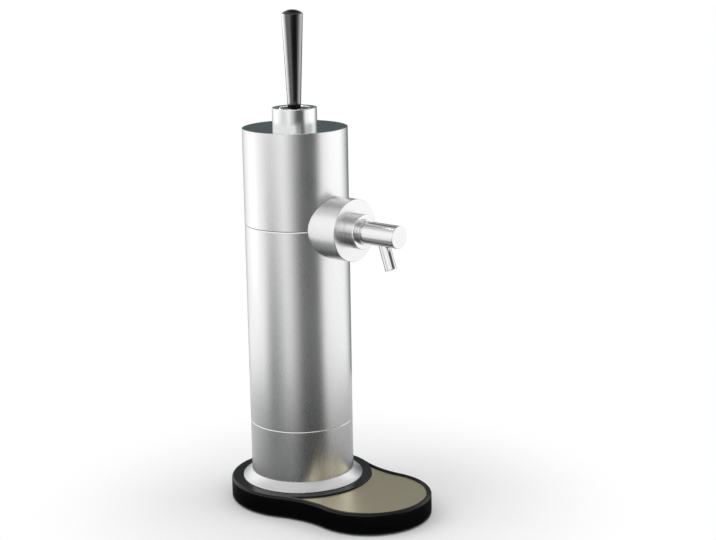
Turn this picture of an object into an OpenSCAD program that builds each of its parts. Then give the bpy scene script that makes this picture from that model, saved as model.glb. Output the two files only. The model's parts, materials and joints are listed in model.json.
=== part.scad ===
// Portable beer foamer: a can stands in the column, a pump in the lift-off head
// draws the beer through a dip tube to the tap. All sizes in millimetres, +X is
// the tap side, +Z is up, the floor is at z = 0.

/* [Column] */
// Outside diameter of the column
column_d = 85; // [84:0.5:95]
// Wall thickness of the column tubes
column_wall = 2; // [1.5:0.1:2.2]
// Height of the lower tube, from the base to the lower seam
lower_tube_h = 49.5; // [40:0.5:70]
// Height of the main tube between the two seams
main_tube_h = 165.5; // [150:0.5:200]
// Height of the head, from the upper seam to its flat top
head_h = 78; // [77:0.5:95]
// Edge break at the seams
seam_chamfer = 0.4; // [0.2:0.1:0.8]

/* [Base] */
// Diameter of the base lobe under the column
base_lobe_d = 120; // [116:1:140]
// Diameter of the base lobe under the glass
glass_lobe_d = 101; // [90:1:115]
// Distance between the centres of the two lobes
lobe_pitch = 73.5; // [65:0.5:90]
// Radius of the hollow waist between the lobes
waist_r = 85; // [60:1:120]
// Height of the base shell
base_h = 17; // [16:0.5:25]
// Wall thickness of the base shell
base_wall = 2.5; // [2:0.1:3]
// Rounding of the upper edge of the base
base_edge_r = 2; // [1:0.25:2.5]
// Height of the rubber feet below the base
foot_h = 1.5; // [1:0.25:3]
// Diameter of the rubber feet
foot_d = 12; // [8:0.5:13]
// Width of the rim round the drip plate
rim_w = 3.6; // [3:0.1:6]
// Thickness of the drip plate
plate_t = 1.5; // [1:0.1:2]
// Depth of the drip plate's top below the deck
plate_drop = 1.2; // [0.5:0.1:2]
// Outside diameter of the foot flange
flange_d = 100; // [99:0.5:108]
// Height of the foot flange
flange_h = 6.7; // [5:0.1:12]
// Thickness of the steel ballast
ballast_t = 8; // [4:0.5:8]

/* [Tap] */
// Diameter of the tap boss
boss_d = 50; // [48:0.5:54]
// Reach of the boss beyond the column
boss_l = 19.8; // [18:0.2:30]
// Height of the tap axis above the upper seam
tap_rise = 0.5; // [0:0.1:3]
// Diameter of the hub in front of the boss
hub_d = 28; // [24:0.5:32]
// Length of the hub
hub_l = 10.2; // [6:0.2:14]
// Diameter of the sealing washer
washer_d = 20.4; // [18:0.2:23]
// Thickness of the sealing washer
washer_l = 2.4; // [1.5:0.1:4]
// Diameter of the barrel
barrel_d = 18; // [16:0.2:19]
// Length of the barrel
barrel_l = 32.6; // [30:0.2:45]
// Distance of the spout from the barrel's free end
spout_back = 18; // [12:0.5:19]
// Diameter of the spout
spout_d = 9.2; // [8.8:0.1:10]
// Bore of the spout
spout_bore = 5; // [3:0.1:6]
// Length of the spout from the barrel's axis
spout_l = 28.6; // [24:0.2:40]
// Forward tilt of the spout, in degrees
spout_tilt = 19; // [0:1:25]

/* [Lever] */
// Diameter of the collar round the lever
collar_d = 36; // [34:0.5:40]
// Bore of the collar
collar_bore = 24; // [23:0.5:25]
// Height of the collar above the head
collar_h = 15.8; // [13:0.2:18]
// Swing of the lever to either side, in degrees
lever_swing = 12; // [10:0.5:13]
// Height of the handle above the collar
handle_rise = 77.4; // [60:0.2:100]
// Diameter of the handle at its top
handle_top_d = 17.2; // [14:0.2:22]
// Diameter of the handle at the collar
handle_low_d = 10.8; // [10:0.1:11.2]
// Height of the domed end of the handle
handle_dome = 3.2; // [2:0.2:5]
// Diameter of the pivot pin
pivot_d = 4; // [3.5:0.1:4.5]

/* [Pump and power] */
// Outside diameter of the pump hose
hose_d = 5; // [4.6:0.1:5.4]
// Bore of the pump hose
hose_bore = 3; // [2.6:0.1:3.2]
// Diameter of the pump rollers
roller_d = 6.4; // [5.6:0.1:6.6]
// Diameter of the motor
motor_d = 24.4; // [20:0.2:25]
// Length of the motor
motor_l = 12.3; // [10:0.1:12.4]
// Diameter of an AA cell
cell_d = 14.5; // [14:0.1:14.6]
// Length of an AA cell
cell_l = 50.5; // [49:0.1:52]
// Outside diameter of the dip tube
dip_d = 6; // [5:0.1:6.4]

/* [Fits] */
// Radial clearance between fixed pieces
fit = 0.1; // [0.08:0.01:0.15]
// Radial clearance of turning pins
run = 0.05; // [0.03:0.01:0.08]
// Clearance of pieces that slide or lift off
slip = 0.3; // [0.25:0.01:0.35]

/* [Hidden] */
$fn = 72;

// heights
deck_t = 2.5;
z_base = foot_h;
z_deck = z_base + base_h;
z_recess = z_deck - plate_drop - plate_t;
z_hollow = z_recess - deck_t;
z_seam2 = z_deck + lower_tube_h;
z_seam1 = z_seam2 + main_tube_h;
z_top = z_seam1 + head_h;
z_collar = z_top + collar_h;
z_handle = z_collar + handle_rise;
z_tap = z_seam1 + tap_rise;

// column
column_r = column_d / 2;
bore_r = column_r - column_wall;

// base outline: two lobes and a hollow waist that crosses them at a slight angle
lobe_r = base_lobe_d / 2;
glass_r = glass_lobe_d / 2;
waist_cross = 0.08;
axis_x = (lobe_r - lobe_pitch - glass_r) / 2;
waist_x = ((lobe_r + waist_r) ^ 2 - (glass_r + waist_r) ^ 2 + lobe_pitch ^ 2) / (2 * lobe_pitch);
waist_y = sqrt((lobe_r + waist_r) ^ 2 - waist_x ^ 2);
waist_a = [waist_x, waist_y] * lobe_r / (lobe_r + waist_r);
waist_b = [lobe_pitch, 0] + ([waist_x, waist_y] - [lobe_pitch, 0]) * glass_r / (glass_r + waist_r);
waist_u = (waist_b - waist_a) / norm(waist_b - waist_a);
waist_p = waist_a - 5 * waist_u;
waist_q = waist_b + 5 * waist_u;
well_gap = 15;
well_r = column_r + well_gap;
cover_t = 2;
post_r = 4;
pilot_r = 1.3;
cover_screw_l = 8.5;
post_in = 9;
foot_in = 12;
flange_r = flange_d / 2;
flange_screw_r = (column_r + flange_r) / 2;
ballast_r = flange_screw_r - 5.5;
foot_inset = 0.6;
post_at = [for (a = [90, 180, 270]) [(lobe_r - post_in) * cos(a), (lobe_r - post_in) * sin(a)],
           for (a = [-45, 45]) [lobe_pitch + (glass_r - post_in) * cos(a), (glass_r - post_in) * sin(a)]];
foot_at = [for (a = [65, 150, 210, 295]) [(lobe_r - foot_in) * cos(a), (lobe_r - foot_in) * sin(a)],
           for (a = [-15, 15]) [lobe_pitch + (glass_r - foot_in) * cos(a), (glass_r - foot_in) * sin(a)]];

// coupling sleeve and mat inside the column
sleeve_t = 2.5;
sleeve_h = 24;
mat_t = 2;

// chassis under the head
rim_t = 1;
rim_r = column_r - 0.2;
spigot_r = bore_r - slip;
spigot_t = 3;
spigot_h = 9.5;
spigot_in = spigot_r - spigot_t;
bulk_t = 3.5;
z_shell = z_seam1 + rim_t;
z_bulk = z_shell + bulk_t;
seal_d = 2;
z_seal = z_seam1 - spigot_h / 2;
seal_in = bore_r - slip / 2 - seal_d;

// top of the head
disc_t = 0.5;
wall_t = 2.5;
z_wall = z_top - disc_t - wall_t;
neck_r = collar_bore / 2 + 3;
nut_h = 4;
nut_r = neck_r + 5;

// tie rods that clamp the shell between its top wall and the chassis
rod_r = 2;
rod_head_r = 3.5;
rod_head_h = 2.4;
rod_boss_r = 4.5;
rod_boss_h = 10;
rod_ring = spigot_in - rod_head_r - 0.6;
rod_at = [for (a = [-85, -35, 35, 85]) [rod_ring * cos(a), rod_ring * sin(a)]];

// pump: rollers run inside a loop of hose
pump_x = -2.5;
pump_floor = 2;
pump_h = 11;
loop_r = 11.4;
rotor_r = loop_r - hose_d / 2 - slip;
roller_ring = rotor_r - roller_d / 2;
roller_step = 360 / 3;
pump_in = loop_r + hose_d / 2 + 0.1;
pump_r = pump_in + 3.4;
pump_screw_ring = pump_in + 1.8;
pump_screw_l = 9;
cheek_r = rotor_r - 1;
cheek_t = 1.2;
pin_r = 1;
shaft_r = 2;
plate_h = 2;
gear_h = 5.5;
z_hose = z_bulk + pump_floor + (pump_h - pump_floor) / 2;
z_gear = z_bulk + pump_h + plate_h;
z_motor = z_gear + gear_h;
roller_l = pump_h - pump_floor - 2 * (cheek_t + slip) - 0.6;

// dip tube and its elbow
elbow_r = 4;
elbow_x = pump_x + sqrt(pow(pump_r + elbow_r + slip, 2) - loop_r * loop_r);
dip_r = dip_d / 2;
dip_wall = 1;
dip_top = 4;
dip_gap = 5.5;
z_dip = z_deck + mat_t + dip_gap;
elbow_h = z_hose - z_bulk + 4;

// board, switch and slider above the motor
board_t = 1.6;
z_board = z_motor + motor_l + 0.5;
switch_h = 6;
z_switch = z_board + board_t + switch_h;
ball_r = 3;
slider_h = 6;
z_slider = z_switch + slip;
z_ball = z_slider + slider_h / 2;
board_x = [-14, 26];
board_y = 14;
board_post = [22, 5];

// lever: the handle just clears the collar's mouth at full swing
swing_gap = 0.5;
pivot_drop = (collar_bore / 2 - handle_low_d / 2 / cos(lever_swing) - swing_gap) / tan(lever_swing);
z_pivot = z_collar - pivot_drop;
pivot_r = pivot_d / 2;
lever_tail = z_pivot - z_ball;
slider_travel = lever_tail * lever_swing * PI / 180;
hub_half = 6;
hub_r = 5;
stem_r = 3.5;
tail_r = 2;
handle_slope = (handle_top_d - handle_low_d) / 2 / (handle_rise - handle_dome);
handle_sunk = 11;
stem_in = 20;
neck_drop = 5;
wire_d = 0.8;
coil_r = pivot_r + wire_d / 2 + 0.5;
coil_pitch = wire_d + 0.5;
coil_turns = 2.5;

// batteries stand in a curved case at the back of the head
cell_r = cell_d / 2;
cell_bore = cell_r + 0.2;
cell_ring = spigot_in - cell_bore - 0.8;
cell_step = 2 * asin((cell_bore + 0.5) / cell_ring);
cell_a = [for (k = [-1.5 : 1 : 1.5]) 180 + k * cell_step];
case_half = 2 * cell_step + 3;
case_in = cell_ring - cell_bore - 0.75;
case_out = cell_ring + cell_bore + 1.2;
spring_h = 3.6;
nub_h = 1;
tab_t = 0.6;
contact_r = 5;
case_top = 3;
hatch_t = 1.7;
z_cell = z_shell + hatch_t + fit + spring_h;
z_case = z_cell + cell_l + nub_h + tab_t;
lug_h = 3;
lug_in = 15.2;
hatch_x = -case_in - 1.3;

// tap
boss_r = boss_d / 2;
x_face = column_r + boss_l;
saddle_r = column_r + slip;
inlet_r = 2.5;
x_cut = 0.7 * column_r;
x_barb = column_r + 9;
x_way = column_r + 11;
stud_r = 3.9;
stud_bore = 2.5;
hub_half_d = hub_d / 2;
recess_r = hub_half_d - 2;
recess_l = 5;
foamer_t = 3;
x_hub = x_face + hub_l;
x_barrel = x_hub + washer_l;
x_end = x_barrel + barrel_l;
x_spout = x_end - spout_back;
barrel_r = barrel_d / 2;
spout_r = spout_d / 2;
plug_r = spout_r - 0.7;
edge = 0.4;
boss_screw_in = 5.5;
boss_screw_at = [[loop_r, z_hose], [0, z_tap + boss_r - boss_screw_in]];
boss_screw_r = 1.5;
boss_screw_head = 3;

base_shell();
base_cover();
ballast_plate();
rubber_feet();
cover_screws();
drip_plate();
foot_flange();
flange_screws();
lower_tube();
coupling_sleeve();
main_tube();
can_mat();
chassis();
head_seal();
head_shell();
top_disc();
tie_rods();
handle_collar();
collar_nut();
pivot_pin();
return_spring();
lever_stem();
handle_grip();
switch_body();
switch_slider();
control_board();
board_screws();
pump_housing();
pump_plate();
pump_screws();
pump_hose();
pump_rotor();
roller(0);  // roller_1
roller(roller_step);  // roller_2
roller(2 * roller_step);  // roller_3
gearbox();
pump_motor();
dip_elbow();
dip_tube();
battery_case();
cells();
cell_springs();
cell_tabs();
battery_hatch();
hatch_screw();
tap_boss();
inlet_barb();
boss_screws();
foamer_ring();
tap_stud();
tap_hub();
tap_washer();
tap_barrel();
spout();

// moves its children onto the column's axis, at height z
module at_axis(z = 0) {
  translate([axis_x, 0, z]) children();
}

// a tube round the Z axis
module tube(ro, ri, h) {
  difference() {
    cylinder(r = ro, h = h);
    translate([0, 0, -1]) cylinder(r = ri, h = h + 2);
  }
}

// a rod along +X from x0 to x1 at (y, z)
module rod_x(r, x0, x1, y = 0, z = 0) {
  translate([x0, y, z]) rotate([0, 90, 0]) cylinder(r = r, h = x1 - x0);
}

// a turned disc along +X with its front edge broken
module turned_x(r, x0, x1, z) {
  translate([x0, 0, z]) rotate([0, 90, 0]) rotate_extrude()
    polygon([[0, 0], [r, 0], [r, x1 - x0 - edge], [r - edge, x1 - x0], [0, x1 - x0]]);
}

// a sector of a ring, centred on the back of the head
module back_sector(ro, ri, half, h) {
  rotate([0, 0, 180 - half]) rotate_extrude(angle = 2 * half) translate([ri, 0]) square([ro - ri, h]);
}

// a slab with the base's outline, set in by i
module base_slab(i, h) {
  cylinder(r = lobe_r - i, h = h);
  translate([lobe_pitch, 0, 0]) cylinder(r = glass_r - i, h = h);
  difference() {
    linear_extrude(h) polygon([waist_p, waist_q, [waist_q.x, -waist_q.y], [waist_p.x, -waist_p.y]]);
    for (s = [-1, 1]) translate([waist_x, s * waist_y, -1])
      cylinder(r = waist_r + i + waist_cross, h = h + 2);
  }
}

// one lobe of the base with a rounded upper edge
module rounded_lobe(r) {
  e = base_edge_r;
  rotate_extrude() polygon(concat([[0, 0], [r, 0]],
    [for (a = [0 : 15 : 90]) [r - e + e * cos(a), base_h - e + e * sin(a)]], [[0, base_h]]));
}

// the tool that hollows the waist, flared at the rounded edge
module waist_tool() {
  e = base_edge_r;
  r = waist_r + waist_cross;
  rotate_extrude() polygon(concat([[0, -1], [r, -1]],
    [for (a = [0 : 15 : 90]) [r + e - e * cos(a), base_h - e + e * sin(a)]],
    [[r + e, base_h + 1], [0, base_h + 1]]));
}

module base_solid() {
  rounded_lobe(lobe_r);
  translate([lobe_pitch, 0, 0]) rounded_lobe(glass_r);
  difference() {
    linear_extrude(base_h) polygon([waist_p, waist_q, [waist_q.x, -waist_q.y], [waist_p.x, -waist_p.y]]);
    for (s = [-1, 1]) translate([waist_x, s * waist_y, 0]) waist_tool();
  }
}

// the glass lobe's well, set in by i from the rim, hollowed round the column
module well(i, h) {
  difference() {
    base_slab(rim_w + i, h);
    translate([0, 0, -1]) cylinder(r = well_r + i, h = h + 2);
  }
}

module base_shell() {
  color([0.06, 0.06, 0.07]) at_axis() difference() {
    union() {
      difference() {
        translate([0, 0, z_base]) base_solid();
        translate([0, 0, z_base - 1]) base_slab(base_wall, z_hollow - z_base + 1);
      }
      for (p = post_at)
        translate([p.x, p.y, z_base + cover_t]) cylinder(r = post_r, h = z_hollow - z_base - cover_t + 0.5);
    }
    translate([0, 0, z_recess]) well(0, 10);
    for (p = post_at) translate([p.x, p.y, z_base]) cylinder(r = pilot_r + fit, h = 9);
    for (a = [45 : 90 : 315]) rotate([0, 0, a]) translate([flange_screw_r, 0, z_hollow - 1])
      cylinder(r = 1.5 + fit, h = 12);
  }
}

module base_cover() {
  color([0.1, 0.1, 0.11]) at_axis() difference() {
    translate([0, 0, z_base]) base_slab(base_wall + fit, cover_t);
    for (p = post_at) translate([p.x, p.y, z_base - 1]) cylinder(r = pilot_r + fit, h = 4);
    for (p = post_at) translate([p.x, p.y, z_base - 1]) cylinder(r = 2.6 + fit, h = 2);
    for (p = foot_at) translate([p.x, p.y, z_base - 1]) cylinder(r = foot_d / 2 + fit, h = foot_inset + 1);
  }
}

module ballast_plate() {
  color([0.45, 0.45, 0.47]) at_axis(z_base + cover_t)
    cylinder(r = ballast_r, h = min(ballast_t, z_hollow - z_base - cover_t - 0.5));
}

module rubber_feet() {
  color([0.12, 0.12, 0.12]) at_axis()
    for (p = foot_at) translate([p.x, p.y, 0]) cylinder(r = foot_d / 2, h = z_base + foot_inset);
}

module cover_screws() {
  color([0.6, 0.6, 0.62]) at_axis() for (p = post_at) translate([p.x, p.y, z_base]) {
    cylinder(r = 2.6, h = 1);
    cylinder(r = pilot_r, h = cover_screw_l);
  }
}

module drip_plate() {
  color([0.7, 0.66, 0.55]) at_axis(z_recess) well(slip, plate_t);
}

module foot_flange() {
  ri = column_r + fit;
  w = flange_r - ri - 0.4;
  color([0.85, 0.85, 0.86]) at_axis(z_deck) difference() {
    rotate_extrude() polygon(concat([[ri, 0], [flange_r, 0], [flange_r, 0.6]],
      [for (t = [0 : 0.125 : 1])
        [flange_r - 0.3 - w * t, 0.9 + (flange_h - 0.9) * (0.62 * t + 0.38 * t * t)]],
      [[ri, flange_h]]));
    for (a = [45 : 90 : 315]) rotate([0, 0, a]) translate([flange_screw_r, 0, -1])
      cylinder(r = 1.5 + fit, h = 2.8);
  }
}

module flange_screws() {
  color([0.6, 0.6, 0.62]) at_axis() for (a = [45 : 90 : 315]) rotate([0, 0, a])
    translate([flange_screw_r, 0, 0]) {
      translate([0, 0, z_hollow - 2.2]) cylinder(r = 2.9, h = 2.2);
      translate([0, 0, z_hollow - 1]) cylinder(r = 1.5, h = z_deck + 1.6 - z_hollow + 1);
    }
}

// a column tube with broken outer edges at its lower and upper ends
module column_tube(h, low, high) {
  rotate_extrude() polygon([[bore_r, 0], [column_r - low, 0], [column_r, low],
    [column_r, h - high], [column_r - high, h], [bore_r, h]]);
}

module lower_tube() {
  color([0.75, 0.75, 0.77]) at_axis(z_deck) column_tube(lower_tube_h, 0.1, seam_chamfer);
}

module coupling_sleeve() {
  color([0.3, 0.3, 0.32]) at_axis(z_seam2 - sleeve_h / 2)
    tube(bore_r - fit, bore_r - fit - sleeve_t, sleeve_h);
}

module main_tube() {
  color([0.78, 0.78, 0.8]) at_axis(z_seam2) column_tube(main_tube_h, 0.1, seam_chamfer);
}

module can_mat() {
  color([0.15, 0.15, 0.15]) at_axis(z_deck) cylinder(r = bore_r - fit, h = mat_t);
}

// the places of the four cells
module at_cells(z) {
  for (a = cell_a) rotate([0, 0, a]) translate([cell_ring, 0, z]) children();
}

module chassis() {
  color([0.08, 0.08, 0.09]) at_axis() difference() {
    union() {
      translate([0, 0, z_seam1]) cylinder(r = rim_r, h = rim_t);
      translate([0, 0, z_seam1 - spigot_h]) cylinder(r = spigot_r, h = spigot_h + 0.5);
      translate([0, 0, z_seam1 + 0.5]) cylinder(r = bore_r - fit, h = z_bulk - z_seam1 - 0.5);
      for (s = [-1, 1]) translate([board_post.x, s * board_post.y, z_bulk - 1])
        cylinder(r = 2.8, h = z_board - z_bulk + 1);
    }
    translate([0, 0, z_seam1 - spigot_h - 1]) cylinder(r = spigot_in, h = spigot_h + rim_t + 1);
    translate([0, 0, z_seal - seal_d / 2 - 0.2]) tube(spigot_r + 1, seal_in - fit, seal_d + 0.4);
    for (p = rod_at) translate([p.x, p.y, z_shell - 1]) cylinder(r = rod_r + fit, h = bulk_t + 2);
    translate([elbow_x, loop_r, z_shell - 1]) cylinder(r = dip_r + fit, h = bulk_t + 2);
    at_cells(z_shell - 1) cylinder(r = cell_bore, h = bulk_t + 2);
    translate([0, 0, z_shell - 1]) back_sector(spigot_in - 0.2, case_in - 1.5, case_half, hatch_t + fit + 1);
    translate([hatch_x, 0, z_shell]) cylinder(r = 1 + fit, h = bulk_t - 0.2);
    for (s = [-1, 1]) translate([board_post.x, s * board_post.y, z_board - 8]) cylinder(r = 1 + fit, h = 9);
  }
}

module head_seal() {
  color([0.1, 0.1, 0.1]) at_axis(z_seal) rotate_extrude()
    translate([seal_in + seal_d / 2, 0]) circle(d = seal_d, $fn = 24);
}

module head_shell() {
  h = z_top - disc_t - z_shell;
  color([0.76, 0.76, 0.78]) at_axis() difference() {
    union() {
      translate([0, 0, z_shell]) rotate_extrude() polygon([[bore_r, 0], [column_r - seam_chamfer, 0],
        [column_r, seam_chamfer], [column_r, h], [neck_r + fit, h], [neck_r + fit, h - wall_t],
        [bore_r, h - wall_t]]);
      translate([0, 0, z_top - disc_t]) tube(column_r, column_r - 0.8, disc_t);
      for (p = rod_at) translate([p.x, p.y, z_wall - rod_boss_h])
        cylinder(r = rod_boss_r, h = rod_boss_h + 1);
    }
    for (p = rod_at) translate([p.x, p.y, z_wall - rod_boss_h - 1]) cylinder(r = rod_r + run, h = rod_boss_h);
    rod_x(inlet_r + fit, x_cut, x_face, -loop_r, z_hose);
    for (p = boss_screw_at) rod_x(boss_screw_r + fit, x_cut, x_face, p[0], p[1]);
  }
}

module top_disc() {
  color([0.2, 0.2, 0.21]) at_axis(z_top - disc_t) tube(column_r - 0.8 - fit, neck_r + fit, disc_t);
}

module tie_rods() {
  color([0.6, 0.6, 0.62]) at_axis() for (p = rod_at) translate([p.x, p.y, 0]) {
    translate([0, 0, z_shell - rod_head_h]) cylinder(r = rod_head_r, h = rod_head_h);
    translate([0, 0, z_shell - 1]) cylinder(r = rod_r, h = z_wall - 1.5 - z_shell + 1);
  }
}

module handle_collar() {
  ro = collar_d / 2;
  ri = collar_bore / 2;
  color([0.82, 0.82, 0.83]) at_axis() difference() {
    rotate_extrude() polygon([[ri, z_pivot - neck_drop], [neck_r, z_pivot - neck_drop], [neck_r, z_top],
      [ro, z_top], [ro, z_collar - edge], [ro - edge, z_collar],
      [ri + edge, z_collar], [ri, z_collar - edge]]);
    translate([0, collar_d, z_pivot]) rotate([90, 0, 0]) cylinder(r = pivot_r + run, h = 2 * collar_d);
  }
}

module collar_nut() {
  color([0.7, 0.7, 0.72]) at_axis(z_wall - nut_h) difference() {
    cylinder(r = nut_r, h = nut_h, $fn = 6);
    translate([0, 0, -1]) cylinder(r = neck_r + fit, h = nut_h + 2);
  }
}

module pivot_pin() {
  color([0.7, 0.7, 0.72]) at_axis() translate([0, neck_r - 0.5, z_pivot])
    rotate([90, 0, 0]) cylinder(r = pivot_r, h = 2 * neck_r - 1);
}

// closes rings of n points each into a tube
function tube_faces(m, n) = concat([[for (j = [0 : n - 1]) j]],
  [for (i = [0 : m - 2], j = [0 : n - 1])
    [i * n + j, (i + 1) * n + j, (i + 1) * n + (j + 1) % n, i * n + (j + 1) % n]],
  [[for (j = [n - 1 : -1 : 0]) (m - 1) * n + j]]);

// a coil round the pivot pin with two straight legs that stand up beside the stem
module return_spring() {
  n = 8;
  turn = 360 * coil_turns;
  leg = 9;
  path = concat([[0, -leg, 0]], [for (a = [0 : 15 : turn]) [a, 0, a / 360 * coil_pitch]],
    [[turn, leg, turn / 360 * coil_pitch]]);
  pts = [for (q = path, j = [0 : n - 1])
    let (r = coil_r + wire_d / 2 * cos(j * 360 / n), w = wire_d / 2 * sin(j * 360 / n))
    [r * cos(q[0]) - q[1] * sin(q[0]), q[2] + w, r * sin(q[0]) + q[1] * cos(q[0])]];
  color([0.65, 0.65, 0.67]) at_axis() translate([0, hub_half + 0.5 + wire_d / 2, z_pivot])
    polyhedron(points = pts, faces = tube_faces(len(path), n));
}

module lever_stem() {
  color([0.7, 0.7, 0.72]) at_axis() difference() {
    union() {
      translate([0, hub_half, z_pivot]) rotate([90, 0, 0]) cylinder(r = hub_r, h = 2 * hub_half);
      translate([0, 0, z_pivot]) cylinder(r = stem_r, h = z_collar - handle_sunk + stem_in - z_pivot);
      translate([0, 0, z_ball]) cylinder(r = tail_r, h = z_pivot - z_ball);
      translate([0, 0, z_ball]) sphere(r = ball_r, $fn = 36);
    }
    translate([0, hub_half + 1, z_pivot]) rotate([90, 0, 0])
      cylinder(r = pivot_r + run, h = 2 * hub_half + 2);
  }
}

module handle_grip() {
  r0 = handle_low_d / 2;
  r1 = handle_top_d / 2;
  low = r0 - handle_sunk * handle_slope;
  dome_r = (r1 * r1 + handle_dome * handle_dome) / (2 * handle_dome);
  dome_a = asin(r1 / dome_r);
  color([0.05, 0.05, 0.05]) at_axis() difference() {
    rotate_extrude() polygon(concat([[0, z_collar - handle_sunk], [low, z_collar - handle_sunk],
      [r1, z_handle - handle_dome]],
      [for (t = [0.9 : -0.1 : 0]) [dome_r * sin(dome_a * t), z_handle - dome_r * (1 - cos(dome_a * t))]]));
    translate([0, 0, z_collar - handle_sunk - 1]) cylinder(r = stem_r + run, h = stem_in + 1);
  }
}

module switch_body() {
  l = 2 * (slider_travel + 6);
  color([0.2, 0.2, 0.22]) at_axis(z_board + board_t) difference() {
    translate([-l / 2, -5, 0]) cube([l, 10, switch_h]);
    translate([-slider_travel - 2.4, -1.8, switch_h - 3.7]) cube([2 * slider_travel + 4.8, 3.6, 4]);
  }
}

module switch_slider() {
  color([0.85, 0.8, 0.3]) at_axis() difference() {
    union() {
      translate([-5.5, -4.4, z_slider]) cube([11, 8.8, slider_h]);
      translate([-2, -1.5, z_slider - slip - 3.2]) cube([4, 3, slip + 3.7]);
    }
    translate([-ball_r - 0.2, -ball_r - 0.3, z_slider + 0.8])
      cube([2 * ball_r + 0.4, 2 * ball_r + 0.6, slider_h]);
    translate([0, 0, z_ball]) sphere(r = ball_r + 0.2, $fn = 36);
  }
}

module control_board() {
  color([0.1, 0.35, 0.2]) at_axis(z_board) difference() {
    translate([board_x[0], -board_y, 0]) cube([board_x[1] - board_x[0], 2 * board_y, board_t]);
    for (s = [-1, 1]) translate([board_post.x, s * board_post.y, -1]) cylinder(r = 1 + fit, h = 4);
  }
}

module board_screws() {
  color([0.6, 0.6, 0.62]) at_axis() for (s = [-1, 1]) translate([board_post.x, s * board_post.y, 0]) {
    translate([0, 0, z_board + board_t]) cylinder(r = 2, h = 1.4);
    translate([0, 0, z_board - 6]) cylinder(r = 1, h = 6 + board_t + 0.5);
  }
}

// moves its children onto the pump's axis, at height z
module at_pump(z) {
  at_axis() translate([pump_x, 0, z]) children();
}

module pump_housing() {
  color([0.75, 0.75, 0.77]) at_pump(z_bulk) difference() {
    cylinder(r = pump_r, h = pump_h);
    translate([0, 0, pump_floor]) cylinder(r = pump_in, h = pump_h);
    for (s = [-1, 1]) translate([0, s * loop_r - hose_d / 2 - 0.1, pump_floor])
      cube([2 * pump_r, hose_d + 0.2, pump_h]);
    translate([0, 0, 0.8]) cylinder(r = 1.5 + run, h = 5);
    for (a = [0, 120, 240]) rotate([0, 0, a]) translate([pump_screw_ring, 0, 2])
      cylinder(r = 0.9 + run, h = 12);
  }
}

module pump_plate() {
  color([0.7, 0.7, 0.72]) at_pump(z_bulk + pump_h) difference() {
    cylinder(r = pump_r, h = plate_h);
    translate([0, 0, -1]) cylinder(r = shaft_r + 0.5, h = plate_h + 2);
    for (a = [0, 120, 240]) rotate([0, 0, a]) translate([pump_screw_ring, 0, -1])
      cylinder(r = 0.9 + run, h = 5);
  }
}

module pump_screws() {
  color([0.6, 0.6, 0.62]) at_pump(z_gear) for (a = [0, 120, 240]) rotate([0, 0, a])
    translate([pump_screw_ring, 0, 0]) {
      cylinder(r = 1.7, h = 1.4);
      translate([0, 0, -pump_screw_l]) cylinder(r = 0.9, h = pump_screw_l + 0.5);
    }
}

// the hose: a half loop in the pump with two straight legs, to the elbow and to the tap
module hose_core(r, over) {
  at_pump(z_hose) {
    rotate([0, 0, 90]) rotate_extrude(angle = 180) translate([loop_r, 0]) circle(r = r, $fn = 36);
    rod_x(r, -0.01, elbow_x - elbow_r - 0.1 - pump_x + over, loop_r);
    rod_x(r, -0.01, bore_r - 5 - pump_x + over, -loop_r);
  }
}

module pump_hose() {
  color([0.85, 0.85, 0.82]) difference() {
    hose_core(hose_d / 2, 0);
    hose_core(hose_bore / 2, 1);
  }
}

module pump_rotor() {
  z0 = pump_floor + slip;
  z1 = z0 + cheek_t + roller_l + 0.4;
  color([0.9, 0.9, 0.88]) at_pump(z_bulk) {
    translate([0, 0, z0]) cylinder(r = cheek_r, h = cheek_t);
    translate([0, 0, z1]) cylinder(r = cheek_r, h = cheek_t);
    translate([0, 0, 1]) cylinder(r = 1.5, h = z1);
    translate([0, 0, z1]) cylinder(r = shaft_r, h = pump_h + plate_h + gear_h - 1.5 - z1);
    for (a = [0, 120, 240]) rotate([0, 0, a]) translate([roller_ring, 0, z0])
      cylinder(r = pin_r, h = z1 - z0 + 0.5);
  }
}

module roller(a) {
  color([0.55, 0.55, 0.57]) at_pump(z_bulk + pump_floor + slip + cheek_t + 0.2) rotate([0, 0, a])
    translate([roller_ring, 0, 0]) tube(roller_d / 2, pin_r + run, roller_l);
}

module gearbox() {
  color([0.72, 0.68, 0.5]) at_pump(z_gear) difference() {
    cylinder(r = motor_d / 2 - 0.4, h = gear_h);
    translate([0, 0, -1]) cylinder(r = shaft_r + run, h = gear_h);
  }
}

module pump_motor() {
  color([0.65, 0.65, 0.67]) at_pump(z_motor) cylinder(r = motor_d / 2, h = motor_l);
}

module dip_elbow() {
  z0 = z_bulk;
  color([0.9, 0.9, 0.88]) at_axis() translate([elbow_x, loop_r, 0]) difference() {
    union() {
      translate([0, 0, z0]) cylinder(r = elbow_r, h = elbow_h);
      rod_x(hose_bore / 2 - fit, -elbow_r - 4, 0, 0, z_hose);
    }
    translate([0, 0, z0 - 1]) cylinder(r = dip_r + fit, h = dip_top + 1);
    translate([0, 0, z0]) cylinder(r = 1, h = z_hose - z0);
    rod_x(0.8, -elbow_r - 5, 0, 0, z_hose);
  }
}

module dip_tube() {
  color([0.8, 0.8, 0.82]) at_axis(z_dip) translate([elbow_x, loop_r, 0])
    tube(dip_r, dip_r - dip_wall, z_bulk + dip_top - z_dip);
}

module battery_case() {
  color([0.12, 0.12, 0.13]) at_axis() difference() {
    union() {
      translate([0, 0, z_bulk]) back_sector(case_out, case_in, case_half, z_case + case_top - z_bulk);
      for (s = [-1, 1]) rotate([0, 0, 180 + s * 35]) translate([lug_in, -3, z_board - lug_h])
        cube([case_in + 1 - lug_in, 6, lug_h]);
    }
    at_cells(z_bulk - 1) cylinder(r = cell_bore, h = z_case - z_bulk + 1);
  }
}

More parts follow.
